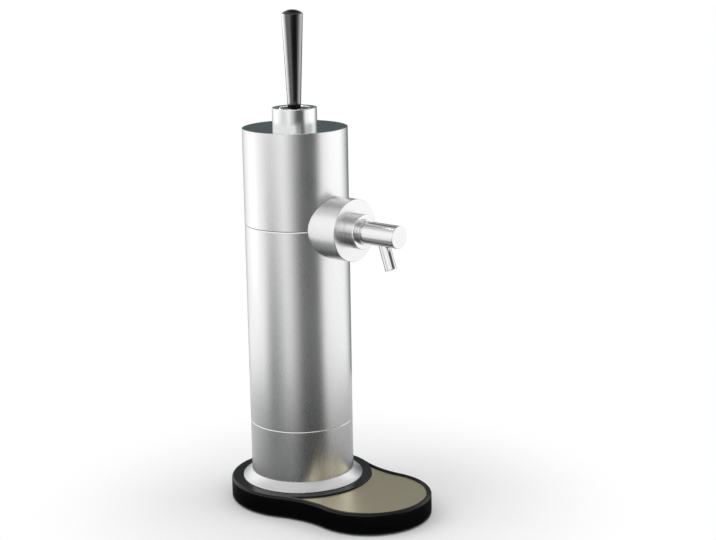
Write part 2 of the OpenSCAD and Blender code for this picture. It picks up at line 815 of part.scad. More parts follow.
module cells() {
  color([0.55, 0.5, 0.3]) at_axis() at_cells(z_cell) {
    cylinder(r = cell_r, h = cell_l);
    cylinder(r = 2.7, h = cell_l + nub_h);
  }
}

module cell_springs() {
  color([0.7, 0.7, 0.72]) at_axis() at_cells(z_cell - spring_h)
    cylinder(r1 = contact_r, r2 = 0.6 * contact_r, h = spring_h);
}

module cell_tabs() {
  color([0.75, 0.7, 0.45]) at_axis() at_cells(z_cell + cell_l + nub_h) cylinder(r = contact_r, h = tab_t);
}

module battery_hatch() {
  color([0.09, 0.09, 0.1]) at_axis(z_shell) difference() {
    back_sector(spigot_in - 0.2 - fit, case_in - 1.5 + fit, case_half - 0.3, hatch_t + fit);
    translate([hatch_x, 0, -1]) cylinder(r = 1 + fit, h = hatch_t + 2);
  }
}

module hatch_screw() {
  color([0.6, 0.6, 0.62]) at_axis() translate([hatch_x, 0, z_shell]) {
    translate([0, 0, -1.5]) cylinder(r = 2.4, h = 1.5);
    translate([0, 0, -0.5]) cylinder(r = 1, h = bulk_t - 0.2);
  }
}

module tap_boss() {
  color([0.84, 0.84, 0.85]) at_axis() difference() {
    turned_x(boss_r, 25, x_face, z_tap);
    translate([0, 0, z_tap - boss_r - 5]) cylinder(r = saddle_r, h = boss_d + 10);
    rod_x(inlet_r + fit, x_cut, x_way + 2, -loop_r, z_hose);
    translate([x_way, 0, z_tap]) rotate([atan2(loop_r, z_hose - z_tap), 0, 0])
      cylinder(r = 1.8, h = norm([loop_r, z_hose - z_tap]));
    rod_x(stud_r + fit, column_r + 8, x_face + 1, 0, z_tap);
    rod_x(recess_r, x_face - recess_l, x_face + 1, 0, z_tap);
    for (p = boss_screw_at) rod_x(boss_screw_r + fit, x_cut, x_way + 1, p[0], p[1]);
  }
}

module inlet_barb() {
  color([0.8, 0.7, 0.4]) at_axis() difference() {
    union() {
      rod_x(inlet_r, bore_r - 5, x_barb, -loop_r, z_hose);
      rod_x(hose_bore / 2 - fit, bore_r - 12, bore_r - 4, -loop_r, z_hose);
    }
    rod_x(0.8, bore_r - 13, x_barb + 1, -loop_r, z_hose);
  }
}

// how far out a screw head may lie at y before it meets the shell's bore
function seat_x(y) = sqrt(bore_r ^ 2 - (abs(y) + boss_screw_head) ^ 2) - fit;

module boss_screws() {
  color([0.6, 0.6, 0.62]) at_axis() for (p = boss_screw_at) {
    rod_x(boss_screw_head, seat_x(p[0]) - 2.2, seat_x(p[0]), p[0], p[1]);
    rod_x(boss_screw_r, seat_x(p[0]) - 1, x_way, p[0], p[1]);
  }
}

module foamer_ring() {
  color([0.9, 0.88, 0.8]) at_axis() difference() {
    rod_x(recess_r - fit, x_face - recess_l, x_face - recess_l + foamer_t, 0, z_tap);
    rod_x(stud_r + fit, x_face - recess_l - 1, x_face, 0, z_tap);
  }
}

module tap_stud() {
  color([0.75, 0.75, 0.77]) at_axis() difference() {
    rod_x(stud_r, column_r + 8.2, x_barrel + 8, 0, z_tap);
    rod_x(stud_bore, column_r + 7, x_barrel + 9, 0, z_tap);
    translate([x_way, 0, z_tap]) rotate([atan2(loop_r, z_hose - z_tap), 0, 0])
      cylinder(r = 1.8, h = 8);
  }
}

module tap_hub() {
  color([0.86, 0.86, 0.87]) at_axis() difference() {
    union() {
      turned_x(hub_half_d, x_face, x_hub, z_tap);
      rod_x(recess_r - fit, x_face - recess_l + foamer_t, x_face + 1, 0, z_tap);
    }
    rod_x(stud_r + fit, x_face - recess_l, x_hub + 1, 0, z_tap);
  }
}

module tap_washer() {
  color([0.35, 0.35, 0.37]) at_axis() difference() {
    rod_x(washer_d / 2, x_hub, x_barrel, 0, z_tap);
    rod_x(stud_r + fit, x_hub - 1, x_barrel + 1, 0, z_tap);
  }
}

// moves its children onto the spout's axis, which leans forward going down
module at_spout() {
  translate([x_spout, 0, z_tap]) rotate([0, 180 - spout_tilt, 0]) children();
}

module tap_barrel() {
  color([0.86, 0.86, 0.87]) at_axis() difference() {
    turned_x(barrel_r, x_barrel, x_end, z_tap);
    rod_x(stud_r + fit, x_barrel - 1, x_barrel + 8.2, 0, z_tap);
    rod_x(stud_bore, x_barrel, x_spout + 2.5, 0, z_tap);
    at_spout() cylinder(r = plug_r + fit, h = spout_l);
  }
}

module spout() {
  color([0.86, 0.86, 0.87]) at_axis() difference() {
    union() {
      difference() {
        at_spout() translate([0, 0, 4]) cylinder(r = spout_r, h = spout_l - 4);
        rod_x(barrel_r + run, x_barrel, x_end + 5, 0, z_tap);
      }
      at_spout() translate([0, 0, 4]) cylinder(r = plug_r, h = spout_l - 6);
    }
    at_spout() translate([0, 0, 3]) cylinder(r = spout_bore / 2, h = spout_l);
  }
}
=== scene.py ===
# %% [markdown]
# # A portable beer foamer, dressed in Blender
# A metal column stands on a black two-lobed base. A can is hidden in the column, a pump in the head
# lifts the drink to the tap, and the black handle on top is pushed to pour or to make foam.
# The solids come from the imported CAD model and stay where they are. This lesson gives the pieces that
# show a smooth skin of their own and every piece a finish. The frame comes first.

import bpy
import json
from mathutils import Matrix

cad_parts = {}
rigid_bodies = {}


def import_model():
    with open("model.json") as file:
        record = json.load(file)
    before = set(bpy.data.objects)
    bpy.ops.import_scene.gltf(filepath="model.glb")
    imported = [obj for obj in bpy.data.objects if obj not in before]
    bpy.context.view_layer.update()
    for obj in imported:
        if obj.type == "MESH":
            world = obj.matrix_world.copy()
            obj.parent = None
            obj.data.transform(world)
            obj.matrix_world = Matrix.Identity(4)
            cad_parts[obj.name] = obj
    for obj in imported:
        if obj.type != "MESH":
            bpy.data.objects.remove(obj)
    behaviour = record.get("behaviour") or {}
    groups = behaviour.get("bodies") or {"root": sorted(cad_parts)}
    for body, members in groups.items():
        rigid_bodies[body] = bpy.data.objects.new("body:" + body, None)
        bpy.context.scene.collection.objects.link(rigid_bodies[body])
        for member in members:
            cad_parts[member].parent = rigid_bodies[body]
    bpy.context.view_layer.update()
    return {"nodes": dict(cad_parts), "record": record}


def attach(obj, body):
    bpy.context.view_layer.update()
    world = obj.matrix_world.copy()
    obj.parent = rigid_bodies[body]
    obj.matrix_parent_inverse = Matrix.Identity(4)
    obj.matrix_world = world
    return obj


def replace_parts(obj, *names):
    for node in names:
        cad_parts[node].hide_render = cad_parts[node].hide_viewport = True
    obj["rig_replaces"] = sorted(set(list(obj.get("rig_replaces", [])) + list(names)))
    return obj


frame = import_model()

import json
import math

import bmesh
import bpy
import numpy as np
from mathutils import Matrix, Vector

MM = 0.001
AXIS_X = -32.0  # the column's axis, in mm
TAP_Z = 234.0  # the tap's axis
DECK_Z = 18.5  # the base's top, where the column starts

# %% [markdown]
# ## One way to make every surface
# A shape here is a grid of points worked out by a formula with two parameters. Blender could also
# spin or loft it, but arrays keep the numbers in sight and the place of every point exact.
# A patch is such a grid with its faces. A piece is one or more patches welded along shared borders,
# which also closes seams and poles, and then has its normals turned outwards.

# %% Patches and pieces


def patch(points, wrap_rows=False, wrap_columns=False, edge=None):
    """Faces of a grid P(i, j): each joins P(i, j), P(i+1, j), P(i+1, j+1) and P(i, j+1).
    A wrapped direction joins its last line to its first. edge is near 1 on rounded corners, else 0."""
    points = np.asarray(points, float)
    m, n = points.shape[:2]
    index = np.arange(m * n).reshape(m, n)
    rows = np.r_[index, index[:1]] if wrap_rows else index
    rows = np.c_[rows, rows[:, :1]] if wrap_columns else rows
    quads = np.stack([rows[:-1, :-1], rows[1:, :-1], rows[1:, 1:], rows[:-1, 1:]], -1).reshape(-1, 4)
    worn = np.zeros((m, n)) if edge is None else np.broadcast_to(edge, (m, n))
    return points.reshape(-1, 3), quads, worn.reshape(-1)


def piece(name, patches, body, node, sharp=40.0):
    """Welds patches given in mm into one closed mesh in metres that rides on body and stands for node."""
    starts = np.cumsum([0] + [len(p[0]) for p in patches[:-1]])
    points = np.concatenate([p[0] for p in patches]) * MM
    quads = np.concatenate([p[1] + s for p, s in zip(patches, starts)])
    mesh = bpy.data.meshes.new(name)
    mesh.from_pydata(points.tolist(), [], quads.tolist())
    worn = mesh.attributes.new("edge", "FLOAT", "POINT")
    worn.data.foreach_set("value", np.concatenate([p[2] for p in patches]).astype(np.float32))
    work = bmesh.new()
    work.from_mesh(mesh)
    bmesh.ops.remove_doubles(work, verts=work.verts, dist=2e-6)
    bmesh.ops.recalc_face_normals(work, faces=work.faces)
    open_edges = sum(1 for e in work.edges if not e.is_manifold)
    work.to_mesh(mesh)
    work.free()
    mesh.shade_smooth()
    mesh.set_sharp_from_angle(angle=math.radians(sharp))
    obj = bpy.data.objects.new(name, mesh)
    bpy.context.scene.collection.objects.link(obj)
    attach(obj, body)
    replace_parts(obj, node)
    print(f"{name}: {len(mesh.polygons)} faces, {open_edges} open edges, rides on {body}")


# %% [markdown]
# ## Corners are never sharp
# A lathe tool and a mould both leave a small radius, and that radius is what catches the light.
# A Bevel modifier could add it, but here each corner of a profile is replaced by a short curve, so the
# radius is chosen corner by corner. A support point beside each curve keeps the flats shading flat.

# %% Profiles with softened corners


def softened(corners, cut, steps=5):
    """Each corner P of a closed outline becomes (1-t)^2 A + 2t(1-t) P + t^2 B, where A and B lie
    cut away from P along its two sides. Returns the points and how near each is to a curve's middle."""
    p = np.asarray(corners, float)
    c = np.broadcast_to(np.asarray(cut, float), len(p))[:, None]
    before, after = np.roll(p, 1, 0) - p, np.roll(p, -1, 0) - p
    before /= np.linalg.norm(before, axis=1, keepdims=True)
    after /= np.linalg.norm(after, axis=1, keepdims=True)
    t = np.linspace(0, 1, steps + 1)
    s = t[None, :, None]
    curve = ((1 - s) ** 2 * (p + c * before)[:, None] + 2 * s * (1 - s) * p[:, None]
             + s**2 * (p + c * after)[:, None])
    points = np.concatenate([(p + 1.8 * c * before)[:, None], curve, (p + 1.8 * c * after)[:, None]], 1)
    worn = np.broadcast_to(np.r_[0, np.sin(np.pi * t), 0], points.shape[:2]) * (c > 0)
    points, worn = points.reshape(-1, 2), worn.reshape(-1)
    fresh = np.linalg.norm(points - np.roll(points, 1, 0), axis=1) > 1e-4
    return points[fresh], worn[fresh]


FRAMES = {
    "z": np.array([[1, 0, 0], [0, 1, 0], [0, 0, 1]], float),
    "x": np.array([[0, 1, 0], [0, 0, 1], [1, 0, 0]], float),
}


def turned(profile, centre, along, worn=None, turns=160):
    """A lathe surface: the closed profile (r, h) is carried round a circle,
    P = centre + r (cos a u + sin a v) + h w, where w is the lathe's axis."""
    u, v, w = FRAMES[along]
    a = np.linspace(0, 2 * np.pi, turns, endpoint=False)
    ring = np.cos(a)[:, None] * u + np.sin(a)[:, None] * v
    r, h = np.asarray(profile, float).T
    points = np.asarray(centre, float) + r[:, None, None] * ring + h[:, None, None] * w
    edge = None if worn is None else worn[:, None]
    return patch(points, wrap_rows=True, wrap_columns=True, edge=edge)


# %% [markdown]
# ## The column
# The real column is two lengths of aluminium tube and a deep-drawn head, turned to one diameter and
# brushed. Each is a tube whose profile goes once round its wall. They meet in two seams: the lower one is
# a butt joint, the upper one a thin gap where the head lifts off. A small slope at the top of each tube
# catches the light, so that a seam shows as a fine line.

# %% Tubes and head
COLUMN = (AXIS_X, 0, 0)
BORE, COLUMN_R = 40.5, 42.5
LOWER_SEAM, UPPER_SEAM, HEAD_TOP = 68.0, 233.5, 311.5
DISC_BORE, DISC_UNDER = 15.1, 311.0


def wall_piece(name, low, high, cuts, lead, node):
    """A tube wall: outer and inner radius joined at both ends, with broken edges and, at the top, a slope
    that goes in by lead[0] over the last lead[1]."""
    corners = [(BORE, low), (COLUMN_R, low), (COLUMN_R, high - lead[1]),
               (COLUMN_R - lead[0], high), (BORE, high)]
    profile, worn = softened(corners, [0.15, *cuts, 0.3])
    piece(name, [turned(profile, COLUMN, "z", worn)], "base", node)


wall_piece("column_lower", DECK_Z, LOWER_SEAM, [0.1, 0.1, 0.1], (0.3, 0.6), "lower_tube")
wall_piece("column_main", LOWER_SEAM, UPPER_SEAM, [0.5, 0.2, 0.1], (0.28, 0.8), "main_tube")

head_corners = [(BORE, 234.5), (42.32, 234.5), (42.32, 233.95), (COLUMN_R, 233.95), (COLUMN_R, HEAD_TOP),
                (41.7, HEAD_TOP), (41.7, DISC_UNDER), (DISC_BORE, DISC_UNDER), (DISC_BORE, 308.5),
                (BORE, 308.5)]
head_cuts = [0.15, 0.05, 0.04, 0.08, 0.36, 0.2, 0.1, 0.2, 0.2, 0.4]
head_profile, head_worn = softened(head_corners, head_cuts)
piece("column_head", [turned(head_profile, COLUMN, "z", head_worn)], "head", "head_shell")

# %% [markdown]
# ## The foot ring
# A bright ring flares from the tube out to the base and hides the joint. It is spun over a form, so its
# slope is one shallow curve that steepens towards the tube. The profile is that curve and a thin lip.

# %% Foot ring
t = np.linspace(0, 1, 25)
slope = np.c_[49.7 - 7.0 * t, 0.9 + 5.8 * (0.62 * t + 0.38 * t**2)]
lip = np.array([[42.6, 0.0], [49.9, 0.0], [50.0, 0.12], [50.0, 0.5], [49.93, 0.74]])
crest = np.array([[42.62, 6.68], [42.6, 6.6]])
ring_profile = np.r_[lip, slope, crest]
ring_worn = np.r_[[0, 0, 0.5, 1, 1], np.zeros(25), [1, 0]]
piece("foot_ring", [turned(ring_profile, (AXIS_X, 0, DECK_Z), "z", ring_worn)], "base", "foot_flange")

# %% [markdown]
# ## Top disc, collar and handle
# The head is closed by a thin disc of glossy metal, which looks dark from the front because it mirrors
# a dark card behind it. The collar on it is a turned ring with an open bore, wide enough for the handle
# to tip both ways. The handle is moulded, thinner at the foot and gently domed at the top. All three are
# round, so each is one profile carried about the column's axis.

# %% Disc, collar, handle
disc_corners = [(DISC_BORE, DISC_UNDER), (41.6, DISC_UNDER), (41.6, HEAD_TOP), (DISC_BORE, HEAD_TOP)]
disc_profile, disc_worn = softened(disc_corners, 0.12)
piece("top_plate", [turned(disc_profile, COLUMN, "z", disc_worn)], "head", "top_disc")

COLLAR_BORE, COLLAR_NECK, COLLAR_R, COLLAR_LOW, COLLAR_Z = 12, 15, 18, 294.17, 327.3
collar_corners = [(COLLAR_BORE, COLLAR_LOW), (COLLAR_NECK, COLLAR_LOW), (COLLAR_NECK, HEAD_TOP),
                  (COLLAR_R, HEAD_TOP), (COLLAR_R, COLLAR_Z), (COLLAR_BORE, COLLAR_Z)]
collar_profile, collar_worn = softened(collar_corners, [0.3, 0.4, 0.1, 0.03, 0.55, 0.55])
piece("collar", [turned(collar_profile, COLUMN, "z", collar_worn)], "head", "handle_collar")

HANDLE_LOW, HANDLE_TOP, AT_COLLAR_R, HANDLE_R, DOME_H = 316.3, 404.7, 5.4, 8.6, 3.2
taper = (HANDLE_R - AT_COLLAR_R) / (HANDLE_TOP - COLLAR_Z - DOME_H)
foot_r = AT_COLLAR_R - taper * (COLLAR_Z - HANDLE_LOW)
foot = [[0, HANDLE_LOW], [foot_r - 0.4, HANDLE_LOW], [foot_r - 0.1, HANDLE_LOW + 0.12],
        [foot_r, HANDLE_LOW + 0.5]]
dome_r = (HANDLE_R**2 + DOME_H**2) / (2 * DOME_H)
angle = np.linspace(1, 0, 22) * math.asin(HANDLE_R / dome_r)
dome = np.c_[dome_r * np.sin(angle), HANDLE_TOP - dome_r * (1 - np.cos(angle))]
edge_t = np.linspace(0, 1, 7)[:, None]
below = np.array([HANDLE_R - 0.9 * taper, HANDLE_TOP - DOME_H - 0.9])
shoulder = (1 - edge_t) ** 2 * below + 2 * edge_t * (1 - edge_t) * dome[0] + edge_t**2 * dome[2]
grip_profile = np.r_[foot, [below - [0.04, 0.9]], shoulder, dome[3:]]
grip_worn = np.r_[np.zeros(5), np.sin(np.pi * edge_t[:, 0]), np.zeros(19)]
piece("handle", [turned(grip_profile, COLUMN, "z", grip_worn, turns=96)], "lever", "handle_grip")

# %% [markdown]
# ## The tap
# A thick round boss is saddled onto the column: its back is hollowed to the column's radius, so its back
# edge is a curve and not a circle. In front follow a hub, a narrow ring and a barrel, all turned on one
# axis, and a short spout that leans forward. The boss is a grid whose first row lies on the saddle.

# %% Boss
BOSS_R, FACE_X, SADDLE_R = 25.0, AXIS_X + 62.3, 42.8
a = np.linspace(0, 2 * np.pi, 160, endpoint=False)
ring_y, ring_z = np.cos(a), np.sin(a)


def saddle_x(y):
    """The column's side with a little room, at the distance y from the middle."""
    return AXIS_X + np.sqrt(SADDLE_R**2 - y**2)


def boss_rows(x, radius):
    """Rings of points (x, r cos a, tap height + r sin a), a row for each r."""
    return np.stack(np.broadcast_arrays(x, radius * ring_y, TAP_Z + radius * ring_z), -1)


inner_r = BOSS_R * np.linspace(0, 1, 9)[:, None]
back = boss_rows(saddle_x(inner_r * ring_y), inner_r)
rim, rim_worn = softened([[BOSS_R, 0.0], [BOSS_R, FACE_X], [0.0, FACE_X], [0.0, 0.0]], [0, 0.55, 0, 0])
rim, rim_worn = rim[1:-2], rim_worn[1:-2]
run = np.linspace(0, 1, 8)[1:-1, None]
side = boss_rows(saddle_x(BOSS_R * ring_y) * (1 - run) + rim[0, 1] * run, BOSS_R)
face = boss_rows(rim[:, 1:], rim[:, :1])
cap = boss_rows(FACE_X, np.linspace(rim[-1, 0], 0, 8)[1:, None])
boss_worn = np.r_[np.zeros(8), [0.6], np.zeros(6), rim_worn, np.zeros(7)]
boss_grid = np.concatenate([back, side, face, cap])
piece("tap_boss_skin", [patch(boss_grid, wrap_columns=True, edge=boss_worn[:, None])], "head", "tap_boss")

# %% [markdown]
# Hub, ring and barrel are plain lathe work. Each profile goes out from a bore, along the side and back,
# and the barrel's bore ends blind, so its front closes as a pole. Three fine grooves run round the hub. A
# wider one at the barrel's root gives the thin dark line that tells the two turned pieces apart.

# %% Hub, ring, barrel
TAP = (AXIS_X, 0, TAP_Z)
STUD_R, HUB_R, RING_R, BARREL_R = 4.0, 14.0, 10.2, 9.0
HUB_X, RING_X, BARREL_X, BARREL_END = 62.3, 72.5, 74.9, 107.5


def tap_piece(name, corners, cut, node):
    """A piece turned about the tap's axis, from (radius, distance from the column's axis) corners."""
    profile, worn = softened(corners, cut)
    piece(name, [turned(profile, TAP, "x", worn, turns=128)], "head", node)


notch = ((HUB_R, -0.3), (HUB_R - 0.3, 0.0), (HUB_R, 0.3))
grooves = [(r, h + dh) for h in (67.0, 68.7, 70.2) for r, dh in notch]
hub_corners = [(STUD_R, HUB_X), (HUB_R - 0.3, HUB_X), (HUB_R, HUB_X + 0.3), *grooves, (HUB_R, RING_X),
               (STUD_R, RING_X)]
tap_piece("tap_hub_skin", hub_corners, [0.1, 0.1, 0.1, *[0.06] * len(grooves), 0.5, 0.1], "tap_hub")
ring_corners = [(STUD_R, RING_X), (RING_R - 0.3, RING_X), (RING_R, RING_X + 0.3), (RING_R, BARREL_X),
                (STUD_R, BARREL_X)]
tap_piece("tap_ring_skin", ring_corners, [0.1, 0.1, 0.1, 0.35, 0.1], "tap_washer")
barrel_corners = [(STUD_R, BARREL_X), (8.3, BARREL_X), (8.3, 75.8), (BARREL_R, 76.1),
                  (BARREL_R, BARREL_END), (0.0, BARREL_END), (0.0, 83.0), (STUD_R, 83.0)]
tap_piece("tap_barrel_skin", barrel_corners, [0.1, 0.1, 0.1, 0.1, 0.5, 0, 0, 0.1], "tap_barrel")

# %% [markdown]
# The spout is a tube soldered under the barrel. Its upper end is a fish-mouth: each line of the tube
# starts where it meets the barrel's round side, which is a small quadratic to solve for the whole ring at
# once. The mouth is open, so the wall turns in at the tip and runs back up the bore.

# %% Spout
TILT, SPOUT_X, SPOUT_R, SPOUT_BORE, BORE_START, SPOUT_END = math.radians(19), 89.5, 4.6, 2.5, 14.0, 28.6
down = np.array([math.sin(TILT), 0, -math.cos(TILT)])
forward = np.array([math.cos(TILT), 0, math.sin(TILT)])
a = np.linspace(0, 2 * np.pi, 72, endpoint=False)
around = np.cos(a)[:, None] * forward + np.sin(a)[:, None] * np.array([0, 1.0, 0])
mouth = (np.sqrt((BARREL_R - 0.04) ** 2 - (SPOUT_R * np.sin(a)) ** 2)
         + SPOUT_R * np.cos(a) * math.sin(TILT)) / math.cos(TILT)
tip_corners = [(SPOUT_R, 0.0), (SPOUT_R, SPOUT_END), (SPOUT_BORE, SPOUT_END), (SPOUT_BORE, 0.0)]
tip_profile, tip_worn = softened(tip_corners, [0, 0.4, 0.4, 0])
tip_profile, tip_worn = tip_profile[1:-1], tip_worn[1:-1]
run = np.linspace(0, 1, 6)[:-1, None]
wall_t = mouth * (1 - run) + tip_profile[0, 1] * run
lengths = np.concatenate([wall_t, np.broadcast_to(tip_profile[:, 1:], (len(tip_profile), len(a))),
                          np.full((2, len(a)), BORE_START)])
radii = np.r_[np.full(5, SPOUT_R), tip_profile[:, 0], SPOUT_BORE, 0.0]
root = np.array([AXIS_X + SPOUT_X, 0, TAP_Z])
tube = root + radii[:, None, None] * around + lengths[:, :, None] * down
top = root + np.linspace(0, 1, 4)[:, None, None] * SPOUT_R * around + mouth[None, :, None] * down
spout_worn = np.r_[[0.8], np.zeros(4), tip_worn, np.zeros(2)]
spout_patches = [patch(top, wrap_columns=True), patch(tube, wrap_columns=True, edge=spout_worn[:, None])]
piece("spout_skin", spout_patches, "head", "spout")

# %% [markdown]
# ## The base
# The base is one moulding: a large lobe under the column, a smaller one in front, and a waist between
# them. Its outline is four arcs that run into each other, and the same arcs set in by a few millimetres
# give the other lines on it. A rounded wall goes round the outline, the deck lies inside it, and a
# shallow well in the front lobe takes the drip plate.

# %% Base outline
LOBE_R, FRONT_R, PITCH, WAIST_R = 60.0, 50.5, 73.5, 85.0
WAIST_X = ((LOBE_R + WAIST_R) ** 2 - (FRONT_R + WAIST_R) ** 2 + PITCH**2) / (2 * PITCH)
WAIST_Y = math.sqrt((LOBE_R + WAIST_R) ** 2 - WAIST_X**2)
to_lobe, to_front = math.atan2(WAIST_Y, WAIST_X), math.atan2(WAIST_Y, WAIST_X - PITCH)
START, END = to_lobe - np.pi, to_front - np.pi
RIM, WELL_R = 3.6, 57.5


def arc(centre, radius, first, last, count):
    """Points C + R (cos a, sin a) for a from first up to but not including last."""
    a = np.linspace(first, last, count, endpoint=False)
    return np.asarray(centre) + radius * np.c_[np.cos(a), np.sin(a)]


def crossing(inset, well_r):
    """Where on the upper waist arc, set in by inset, the circle of well_r round the column cuts it."""
    to_centre, hollow = LOBE_R + WAIST_R, WAIST_R + inset
    return START + math.acos((to_centre**2 + hollow**2 - well_r**2) / (2 * to_centre * hollow))


def outline(inset, well_r=None):
    """The base's outline set in by inset, anticlockwise from where the well meets the upper waist: lobe
    arcs lose the inset and the two hollow waist arcs gain it. Returns the points and the number of them
    that border the deck; with well_r, the crossing follows that circle."""
    turn = crossing(RIM, WELL_R) if well_r is None else crossing(inset, well_r)
    upper, lower, hollow = (WAIST_X, WAIST_Y), (WAIST_X, -WAIST_Y), WAIST_R + inset
    deck = [arc(upper, hollow, turn, START, 8),
            arc((0, 0), LOBE_R - inset, to_lobe, 2 * np.pi - to_lobe, 120),
            arc(lower, hollow, -START, -turn, 8)]
    well = [arc(lower, hollow, -turn, -END, 24),
            arc((PITCH, 0), FRONT_R - inset, -to_front, to_front, 110),
            arc(upper, hollow, END, turn, 24)]
    return np.concatenate(deck + well), sum(len(x) for x in deck)


def level(points, z):
    """Outline points lifted to the height z, moved to the column's axis."""
    return np.c_[points[:, 0] + AXIS_X, points[:, 1], np.broadcast_to(z, len(points))]


print("outline points:", len(outline(0)[0]), "waist centre:", round(WAIST_X, 2), round(WAIST_Y, 2))

# %% [markdown]
# The wall rows go from the hollow underside round the lower edge, up the side, over the rounded upper
# edge and in to the rim's inner line. The deck's border follows that line round the large lobe and comes
# back along the well, and the deck is this border drawn in to the column's axis in a few rows. The well
# has upright walls of its own and a floor ruled from wall to wall.

# %% Base shell
BASE_Z, WELL_Z, HOLLOW_Z, EDGE, WALL_T = 1.5, 15.8, 13.3, 2.0, 2.5
q = np.linspace(0, np.pi / 2, 9)
lower_rows = [[WALL_T, HOLLOW_Z], [WALL_T, 2.2], [2.4, 1.7], [2.1, BASE_Z], [0.7, BASE_Z], [0.25, 1.62],
              [0.05, 1.95], [0.0, 2.4], [0.0, 15.9]]
round_rows = np.c_[EDGE - EDGE * np.cos(q), DECK_Z - EDGE + EDGE * np.sin(q)]
wall = np.r_[lower_rows, round_rows, [[2.3, DECK_Z], [2.9, DECK_Z], [RIM - 0.3, DECK_Z]]]
band = np.stack([level(outline(i)[0], z) for i, z in wall])
band_worn = np.r_[np.zeros(9), np.sin(2 * q), np.zeros(3)]


def well_borders(inset, well_r):
    """The two curves that bound the well, from end to end: along the rim and round the column."""
    points, count = outline(inset, well_r)
    rim_side = np.r_[points[count:], points[:1]]
    ends = np.arctan2(rim_side[[0, -1], 1], rim_side[[0, -1], 0])
    a = np.linspace(ends[0], ends[1], len(rim_side))
    return rim_side, well_r * np.c_[np.cos(a), np.sin(a)]


brim, deck_count = outline(RIM)
inner_line = outline(RIM - 0.3)[0]
rim_side, column_side = well_borders(RIM, WELL_R)
deck_line = np.r_[brim[:deck_count + 1], column_side[1:-1]]
reach = np.array([0, 0.7, 0.85, 0.95, 1])
deck = np.stack([level(deck_line * s, DECK_Z) for s in reach])
rim = np.stack([level(inner_line, DECK_Z), level(brim, DECK_Z)])
depth = np.array([DECK_Z, DECK_Z - 0.35, WELL_Z])
rim_wall = np.stack([level(rim_side, z) for z in depth])
column_wall = np.stack([level(column_side, z) for z in depth])
share = np.linspace(0, 1, 8)
well_floor = np.stack([level(column_side * (1 - s) + rim_side * s, WELL_Z) for s in share])
under = outline(WALL_T)[0]
under_cap = np.stack([level(under * [1, s], HOLLOW_Z) for s in np.linspace(1, 0, 6)])
rings = [patch(grid, wrap_columns=True) for grid in (rim, deck)]
strips = [patch(grid) for grid in (rim_wall, column_wall, well_floor)]
base_patches = [patch(band, wrap_columns=True, edge=band_worn[:, None]), *rings, *strips,
                patch(under_cap, wrap_columns=True)]
piece("base_moulding", base_patches, "base", "base_shell", sharp=30)

# %% [markdown]
# ## The drip plate
# The plate is cut from sheet to the well's outline with a little play and lifts out for washing. It is a
# closed loop of lines: up the rim side, over the flat, down beside the column and back underneath. Each
# step in from the edge uses the same outline, set in a little more, which rounds the cut edge.

# %% Drip plate
PLATE_TOP = 17.3
PLAY = 0.3
edge_steps = [(0.0, WELL_Z), (0.0, PLATE_TOP - 0.3), (0.08, PLATE_TOP - 0.1), (0.28, PLATE_TOP),
              (0.6, PLATE_TOP)]
borders = [well_borders(RIM + PLAY + i, WELL_R + PLAY + i) for i, z in edge_steps]
up = [level(b[0], z) for b, (i, z) in zip(borders, edge_steps)]
over = [level(borders[-1][0] * (1 - s) + borders[-1][1] * s, PLATE_TOP) for s in share[1:-1]]
down_side = [level(b[1], z) for b, (i, z) in zip(borders, edge_steps)][::-1]
back_under = [level(borders[0][1] * (1 - s) + borders[0][0] * s, WELL_Z) for s in share[1:-1]]
plate_worn = np.r_[[0, 0.7, 1, 0.7, 0], np.zeros(6), [0, 0.7, 1, 0.7, 0], np.zeros(6)]
plate_patch = patch(np.stack(up + over + down_side + back_under), wrap_rows=True, edge=plate_worn[:, None])
piece("drip_plate_skin", [plate_patch], "plate", "drip_plate")

# %% [markdown]
# ## Effects that several finishes share
# Brushed lines, lathe lines, finger smudges, moulded grain and worn edges each come back in more than one
# finish, so node groups make them: one for lathe lines, one for any stretched grain and one for wear. A
# group only gives out a value that changes over the surface. The shader itself stays in the material,
# where the export can read it.

# %% Node helpers


def add(tree, kind, **settings):
    """A node of this kind, with its settings and, by input name or number, its plain input values."""
    node = tree.nodes.new(kind)
    for key, value in settings.pop("values", {}).items():
        node.inputs[key].default_value = value
    for key, value in settings.items():
        setattr(node, key, value)
    return node


def new_group(name, inputs, output):
    """An empty shader group with one value output. Inputs are (name, socket type, default)."""
    tree = bpy.data.node_groups.new(name, "ShaderNodeTree")
    for label, kind, default in inputs:
        tree.interface.new_socket(label, in_out="INPUT", socket_type=kind).default_value = default
    tree.interface.new_socket(output, in_out="OUTPUT", socket_type="NodeSocketFloat")
    return tree, add(tree, "NodeGroupInput"), add(tree, "NodeGroupOutput")


# %% Shared groups


